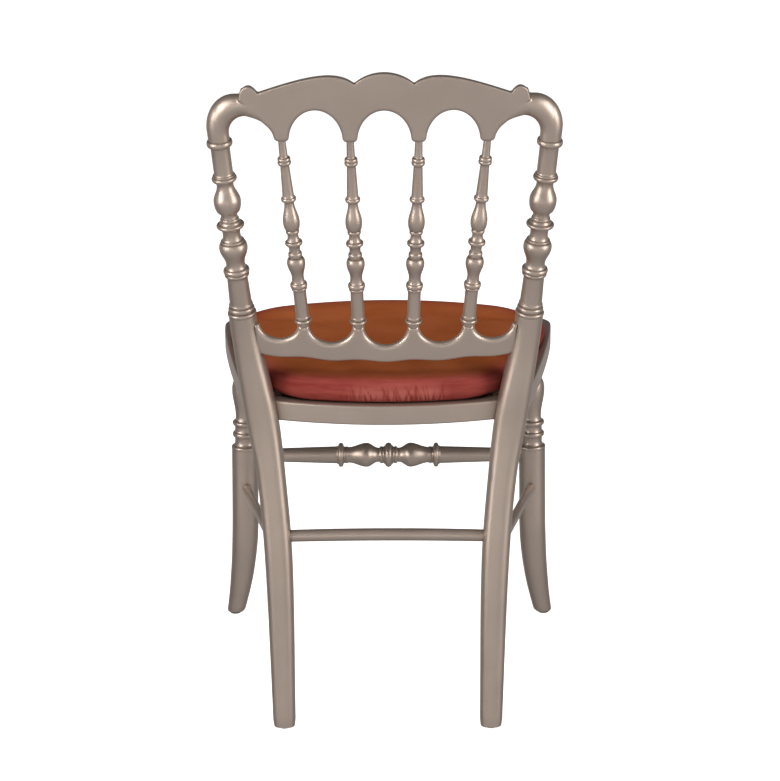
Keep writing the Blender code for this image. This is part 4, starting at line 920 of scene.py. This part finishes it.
def lower_base(end):
    """The lower rail's gently waved foot on the left half, from its end in to the middle."""
    steps = 54
    points = []
    for i in range(steps, -1, -1):
        x = end * i / steps
        wave = LOWER_WAVE * math.cos(math.tau * x / SPINDLE_PITCH_FOOT)
        rise = LOWER_BASE + LOWER_LIFT + LOWER_SAG * (x / LOWER_FACE) ** 2 - wave
        points.append((x, SEAT_HEIGHT + rise))
    return points


def lower_rail():
    end = LOWER_FACE + LOWER_SOCKET
    top = lower_top(end)
    base = lower_base(end)
    foot = base + [(-x, z) for x, z in reversed(base[:-1])]
    foot += [(x, z + LOWER_BASE_HEIGHT) for x, z in reversed(foot)]
    upper = plate(both_halves(top + base), -LOWER_HALF, LOWER_HALF, LOWER_TOP_EDGE)
    lower = plate(foot, -LOWER_HALF, LOWER_HALF, LOWER_BASE_EDGE)
    mesh = carved([upper, lower], LOWER_PASSES)
    round_over(mesh, top, LOWER_HALF, LOWER_FALL, LOWER_FALL_REACH)
    wood("lower_back_rail", onto_back(mesh))


def spindle(i):
    ends = []
    for pitch, z in ((SPINDLE_PITCH_FOOT, PEAK_Z), (SPINDLE_PITCH_TOP, POST_HEAD)):
        x = spread_out(pitch)[i]
        ends.append(Vector((x, back_y(x, z), z)))
    length = (ends[1] - ends[0]).length
    profile = turning(SPINDLE_TURNING, length / SPINDLE_TURNING[-1][0])
    profile = [(-SPINDLE_TENON, SPINDLE_TENON_RADIUS), (0, SPINDLE_TENON_RADIUS)] + profile
    profile.append((length + SPINDLE_TENON, SPINDLE_TURNING[-1][1]))
    wood(f"spindle_{i + 1}", spun(*ends, profile))


# Seat rails, drawn in the seat's plane
FRONT_REACH = FRONT_CORNER_RADIUS + FRONT_BOW
FRONT_RADIUS = (FRONT_LEG_X**2 + FRONT_REACH**2 - FRONT_CORNER_RADIUS**2) / (2 * FRONT_BOW)
JOINT_X = FRONT_LEG_X - CORNER_RETURN


def rear_y(x, inset):
    return REAR_RAIL_BOW * (1 - (x / REAR_RAIL_FACE) ** 2) - inset


def front_y(x, inset):
    return FRONT_LEG_Y - FRONT_REACH + FRONT_RADIUS - math.sqrt((FRONT_RADIUS - inset) ** 2 - x**2)


def side_edge(t, inset):
    """A point along the seat's left side, t from the rear leg to the front corner, set in from the edge."""
    handles = (
        Vector((SIDE_END_X, SIDE_END_Y)),
        Vector((SIDE_END_X + SIDE_FLARE * SIDE_HANDLE_BACK, SIDE_END_Y - SIDE_HANDLE_BACK)),
        Vector((FRONT_LEG_X + FRONT_CORNER_RADIUS, FRONT_LEG_Y + SIDE_HANDLE_FRONT)),
        Vector((FRONT_LEG_X + FRONT_CORNER_RADIUS, FRONT_LEG_Y)),
    )
    step = 0.001
    way = (bezier(*handles, min(1, t + step)) - bezier(*handles, max(0, t - step))).normalized()
    return bezier(*handles, t) + Vector((way.y, -way.x)) * inset


def side_width(t):
    return RAIL_WIDTH - (RAIL_WIDTH - SIDE_END_WIDTH) * (1 - t) ** 3


def side_rail_outline():
    steps = 40
    outer = [side_edge(i / steps, 0) for i in range(steps + 1)]
    bend = math.pi / 2 - math.asin(FRONT_LEG_X / (FRONT_RADIUS - FRONT_CORNER_RADIUS))
    corner = Vector((FRONT_LEG_X, FRONT_LEG_Y))
    for i in range(1, steps // 2):
        angle = -bend * 2 * i / steps
        outer.append(corner + Vector((math.cos(angle), math.sin(angle))) * FRONT_CORNER_RADIUS)
    end = JOINT_X + JOINT_GAP / 2
    outer += [(end, front_y(end, 0)), (end, front_y(end, RAIL_WIDTH))]
    inner = []
    for i in range(steps, -1, -1):
        point = side_edge(i / steps, side_width(i / steps))
        if point.y > front_y(point.x, RAIL_WIDTH):
            inner.append(point)
    return [tuple(point) for point in outer + inner]


def seat_rails():
    steps = 60
    reach = REAR_RAIL_FACE + REAR_RAIL_SOCKET
    places = [reach * (2 * i / steps - 1) for i in range(steps + 1)]
    rear = [(x, rear_y(x, 0)) for x in places] + [(x, rear_y(x, REAR_RAIL_WIDTH)) for x in reversed(places)]
    end = JOINT_X - JOINT_GAP / 2
    places = [end * (2 * i / steps - 1) for i in range(steps + 1)]
    front = [(x, front_y(x, 0)) for x in reversed(places)] + [(x, front_y(x, RAIL_WIDTH)) for x in places]
    rails = [("rear_seat_rail", rear, 1), ("front_seat_rail", front, 1)]
    rails += [("side_seat_rail_" + name, side_rail_outline(), side) for name, side in SIDES]
    for name, outline, side in rails:
        mesh = mirrored(plate(outline, -RAIL_HEIGHT, 0, RAIL_EDGE), side)
        mesh.transform(SEAT_PLANE)
        made = wood(name, mesh)
        made.modifiers.new("flat faces", "WEIGHTED_NORMAL")


# Front legs and stretchers
LEG_TOP = SEAT_PLANE @ Vector((FRONT_LEG_X, FRONT_LEG_Y, -RAIL_HEIGHT - JOINT_GAP))


def front_leg_at(z):
    bend = max(0, (SABRE_HEIGHT - z) / SABRE_HEIGHT) ** 2
    x = LEG_TOP.x + FRONT_SPLAY * (LEG_TOP.z - z) + SABRE_OUT * bend
    return Vector((x, LEG_TOP.y - SABRE_FORWARD * bend, z))


def shank_radius(z):
    """The shank's radius on a smooth curve through its keys."""
    return hermite([(low, (radius,)) for low, radius in FRONT_SHANK], z, (0,))[0]


def front_leg(name, side):
    """Sabre foot, plain shank and turned top in one piece."""
    count, steps, step = 48, 44, 0.001
    stations = [(SOLE + lift, shank_radius(0) - shrink) for shrink, lift in FOOT_RINGS]
    low, high = SOLE + FOOT_EDGE, FRONT_SHOULDER + FRONT_TURNING[0][0]
    for i in range(steps):
        z = low + (high - low) * i / steps
        stations.append((z, shank_radius(min(z, FRONT_SHANK[-1][0]))))
    stretch = (LEG_TOP.z - FRONT_SHOULDER) / FRONT_TURNING[-1][0]
    stations += [(FRONT_SHOULDER + h, r) for h, r in turning(FRONT_TURNING, stretch)]
    rings = []
    for z, radius in stations:
        level = z <= SOLE + FOOT_EDGE
        across, deep = square_to(COLUMN if level else front_leg_at(z + step) - front_leg_at(z - step))
        rings.append(oval(front_leg_at(z), across, deep, radius, radius, count))
    wood(name, mirrored(loft(rings), side))


def stretchers():
    end = front_leg_at(FRONT_STRETCHER_HEIGHT)
    reach = end.x - shank_radius(FRONT_SHANK[-1][0]) + STRETCHER_HOUSED
    half = turning(FRONT_STRETCHER_TURNING) + [(reach, FRONT_STRETCHER_END)]
    profile = [(-far, radius) for far, radius in reversed(half[1:])] + half
    wood("front_stretcher", spun(Vector((0, end.y, end.z)), end, profile))
    x, y, wide, _, _ = leg_at(REAR_STRETCHER_HEIGHT)
    reach = x - wide + STRETCHER_HOUSED
    ends = [Vector((side * reach, y, REAR_STRETCHER_HEIGHT)) for side in (-1, 1)]
    rod("rear_stretcher", *ends, REAR_STRETCHER_RADIUS, REAR_STRETCHER_ARCH)
    for name, side in SIDES:
        x, y, _, deep, _ = leg_at(SIDE_STRETCHER_BACK)
        back, ahead = Vector((x, y, SIDE_STRETCHER_BACK)), front_leg_at(SIDE_STRETCHER_FRONT)
        way = (ahead - back).normalized()
        start = back + way * (deep - STRETCHER_HOUSED)
        stop = ahead - way * (shank_radius(FRONT_SHANK[-1][0]) - STRETCHER_HOUSED)
        start.x, stop.x = side * start.x, side * stop.x
        rod("side_stretcher_" + name, start, stop, SIDE_STRETCHER_RADIUS)


def rod(name, start, end, radius, arch=0):
    """A plain rod that thins a little towards its ends, and may arch."""
    count, steps = 32, 24
    across, deep = square_to(end - start)
    rings = []
    for i in range(steps + 1):
        away = abs(2 * i / steps - 1)
        thin = radius * (1 - ROD_TAPER * away**3)
        centre = start.lerp(end, i / steps) + COLUMN * arch * (1 - away**2)
        rings.append(oval(centre, across, deep, thin, thin, count))
    wood(name, loft(rings))


# Seat pad
def pad_plan():
    """The pad's edge in the seat's plane, from the middle of its back round by the left."""
    steps, front_steps = 130, 40
    half = []
    for i in range(steps):
        x = PAD_CORNER_START * i / steps
        half.append(Vector((x, rear_y(x, PAD_REAR_INSET))))
    first = Vector((PAD_CORNER_START, rear_y(PAD_CORNER_START, PAD_REAR_INSET)))
    knee = Vector(PAD_CORNER_KNEE)
    last = Vector(PAD_CORNER_END)
    corner_x = FRONT_LEG_X + FRONT_CORNER_RADIUS - PAD_INSET - PAD_FRONT_RADIUS
    corner = Vector((corner_x, front_y(corner_x, PAD_INSET + PAD_FRONT_RADIUS)))
    turn_to = corner + Vector((PAD_FRONT_RADIUS, 0))
    pull = (turn_to - last).length / 3
    leave = last + (last - knee).normalized() * pull
    arrive = turn_to + Vector((0, pull))
    sweep = math.pi / 2 - math.asin(corner_x / (FRONT_RADIUS - PAD_INSET - PAD_FRONT_RADIUS))
    shares = [2 * i / steps for i in range(steps // 2)]
    half += [first.lerp(knee, t).lerp(knee.lerp(last, t), t) for t in shares]
    half += [bezier(last, leave, arrive, turn_to, t) for t in shares]
    half += [corner + Vector((math.cos(sweep * t), -math.sin(sweep * t))) * PAD_FRONT_RADIUS for t in shares]
    end_x = corner.x + PAD_FRONT_RADIUS * math.cos(sweep)
    for i in range(front_steps + 1):
        x = end_x * (1 - i / front_steps)
        half.append(Vector((x, front_y(x, PAD_INSET))))
    return [Vector(point) for point in both_halves(half)]


def tucks():
    """Small gathers along the lower edge of the pad's back: place, width, height, lean and depth."""
    draw = random.Random(TUCK_SEED)
    found = []
    for i in range(TUCKS):
        x = TUCK_FROM + (TUCK_TO - TUCK_FROM) * (i + draw.uniform(*TUCK_SPOTS)) / TUCKS
        width = draw.uniform(*TUCK_WIDTHS)
        tall = draw.uniform(*TUCK_HEIGHTS)
        lean = draw.uniform(*TUCK_LEANS)
        found.append((x, width, tall, lean, draw.uniform(*TUCK_DEPTHS) * TUCK_DEEP))
    return found


def tucked(x, height, gathers):
    """How far the gathers draw the cloth in at a place on the pad's back."""
    depth = 0.0
    for place, width, tall, lean, deep in gathers:
        away = (x - place - lean * height) / width
        if height < tall and abs(away) < TUCK_REACH:
            depth += deep * math.exp(-away * away) * (1 - height / tall) ** TUCK_FADE
    return depth


def pad_ahead(point):
    """Eases from 0 at the pad's middle to 1 at its front."""
    return smooth((point.y - PAD_FRONT_START) / (PAD_FRONT_END - PAD_FRONT_START))


def pad_rise(point, height):
    """A height on the pad, lower towards the front and its corners."""
    ahead = pad_ahead(point)
    dome = PAD_FRONT_DOME * ahead * point.x**2 * min(1.0, height / PAD_TOP)
    return height * (1 - PAD_FRONT_LOWER * ahead) - dome


def pad_side(plan):
    """Rings up the pad's side, and a mark at each point that tells ridges and folds from plain cloth, for
    painted highlights on ridges and painted shade in folds.
    """
    gathers = tucks()
    rings, marks = [], []
    for inset, height in PAD_SIDE:
        low = min(1.0, 1 - height / PAD_TOP)
        ring = []
        for i, point in enumerate(plan):
            way = (plan[(i + 1) % len(plan)] - plan[i - 1]).normalized()
            at_back = point.y > TUCK_BACK
            drawn = tucked(point.x, height, gathers) if at_back and height > 0 else 0.0
            soft = 1 + PAD_FRONT_SOFTER * pad_ahead(point) if height > PAD_SOFT_FROM else 1
            place = point + Vector((way.y, -way.x)) * (inset * soft + drawn)
            away = (Vector((abs(point.x), point.y)) - PAD_CORNER).length / PAD_CORNER_REACH
            rise = pad_rise(point, height) + PAD_CORNER_LIFT * max(0.0, 1 - away**2) * low
            ring.append(Vector((*place, PAD_BASE + rise)))
            within = smooth((point.x - TUCK_FROM) / TUCK_EASE) * smooth((TUCK_TO - point.x) / TUCK_EASE)
            within *= smooth((TUCK_TOP - height) / TUCK_TOP_EASE) * at_back
            marks.append(CLOTH_PLAIN + within * (CLOTH_RIDGE - min(CLOTH_FOLD, drawn / TUCK_DEEP)))
        rings.append(ring)
    return rings, marks


def pad_crown(plan, edge):
    """Rings from the top of the pad's side in towards its middle."""
    middle = sum(plan, Vector((0, 0))) / len(plan)
    rings = []
    for i in range(1, PAD_CROWN_STEPS):
        t = i / PAD_CROWN_STEPS
        swell = (PAD_CROWN - PAD_TOP) * math.sin(math.pi / 2 * t)
        ring = []
        for point, rim in zip(plan, edge):
            rise = pad_rise(point.lerp(middle, t), PAD_TOP) + swell
            ring.append(Vector((*rim.xy.lerp(middle, t), PAD_BASE + rise)))
        rings.append(ring)
    return rings


def cushion():
    plan = pad_plan()
    rings, gather_shading = pad_side(plan)
    # The side mark paints the sheen: 1 up the pad's side, fading to 0 into its top
    side = []
    for _, height in PAD_SIDE:
        side += [min(1.0, max(0.0, (SHEEN_BAND_TOP - height) / SHEEN_BAND_EASE))] * len(plan)
    crown = pad_crown(plan, rings[-1])
    side += [0.0] * len(plan) * len(crown)
    gather_shading += [CLOTH_PLAIN] * len(plan) * len(crown)
    mesh = loft(rings + crown, sharp=180)
    mesh.attributes.new("side", "FLOAT", "POINT").data.foreach_set("value", side)
    mesh.attributes.new("gather_shading", "FLOAT", "POINT").data.foreach_set("value", gather_shading)
    mesh.transform(SEAT_PLANE)
    made = piece("pad_cover", mesh, "seat_pad", "rust_cover", "pad_cover", "pad_foam")


# Studio
def camera():
    data = bpy.data.cameras.new("camera")
    data.lens = CAMERA_LENS
    data.sensor_width = CAMERA_SENSOR
    data.clip_end = VIEW_REACH
    made = bpy.data.objects.new("camera", data)
    made.location = ONTO_FRAME @ Vector(CAMERA_PLACE)
    made.rotation_euler = Euler([math.radians(angle) for angle in CAMERA_TURN])
    bpy.context.scene.collection.objects.link(made)
    bpy.context.scene.camera = made


def soft_box(name, place, aim, size, power, mirrors):
    data = bpy.data.lights.new(name, "AREA")
    data.shape = "RECTANGLE"
    data.size, data.size_y = size
    data.energy = power
    data.color = BOX_COLOUR
    made = bpy.data.objects.new(name, data)
    made.location = place
    made.rotation_euler = (Vector(aim) - Vector(place)).to_track_quat("-Z", "Y").to_euler()
    made.visible_glossy = mirrors
    bpy.context.scene.collection.objects.link(made)


def room():
    """The light all round: bright low down behind the chair and from the floor ahead, and dim elsewhere."""
    world = bpy.data.worlds.new("studio")
    bpy.context.scene.world = world
    n = Nodes(world, "Background", "Generated")
    floor = n.combine("MINIMUM", n.along(*ROOM_FLOOR), n.along(*ROOM_AHEAD))
    bright = n.combine("MAXIMUM", n.along(ROOM_BRIGHT, 0), floor)
    shades = [(where, (shade, shade, shade)) for where, shade in ROOM_SHADES]
    n.set(Color=n.ramp(n.spread(bright, 0, 1, -1, 1), *shades))


def pale_floor():
    """A plain white floor that neither mirrors nor tints the chair."""
    shape = bmesh.new()
    bmesh.ops.create_grid(shape, x_segments=1, y_segments=1, size=FLOOR_HALF)
    mesh = bpy.data.meshes.new("floor")
    shape.to_mesh(mesh)
    shape.free()
    floor = bpy.data.objects.new("floor", mesh)
    bpy.context.scene.collection.objects.link(floor)
    n = material("floor")
    n.set(Base_Color=n.ramp(n.noise(3, 2.0), (0.3, FLOOR_DARK), (0.7, FLOOR_LIGHT)))
    n.set(Roughness=0.9, Emission_Strength=1.0, Emission_Color=WHITE)
    mesh.materials.append(n.made)
    floor.visible_glossy = False
    floor.visible_diffuse = False
    floor.visible_shadow = False


# Every node's own finish, then the camera, the pieces and the studio
for row in frame["record"]["subparts"]:
    node = frame["nodes"][row["node"]]
    node.data.materials.clear()
    node.data.materials.append(FINISHES[row["material_slot"]])
camera()
for side_name, side_sign in SIDES:
    rear_leg("rear_leg_" + side_name, side_sign)
    front_leg("front_leg_" + side_name, side_sign)
crest_rail()
lower_rail()
for number in range(SPINDLES):
    spindle(number)
seat_rails()
stretchers()
cushion()
for box in SOFT_BOXES:
    soft_box(*box)
room()
pale_floor()
bpy.context.scene.view_settings.view_transform = "Standard"
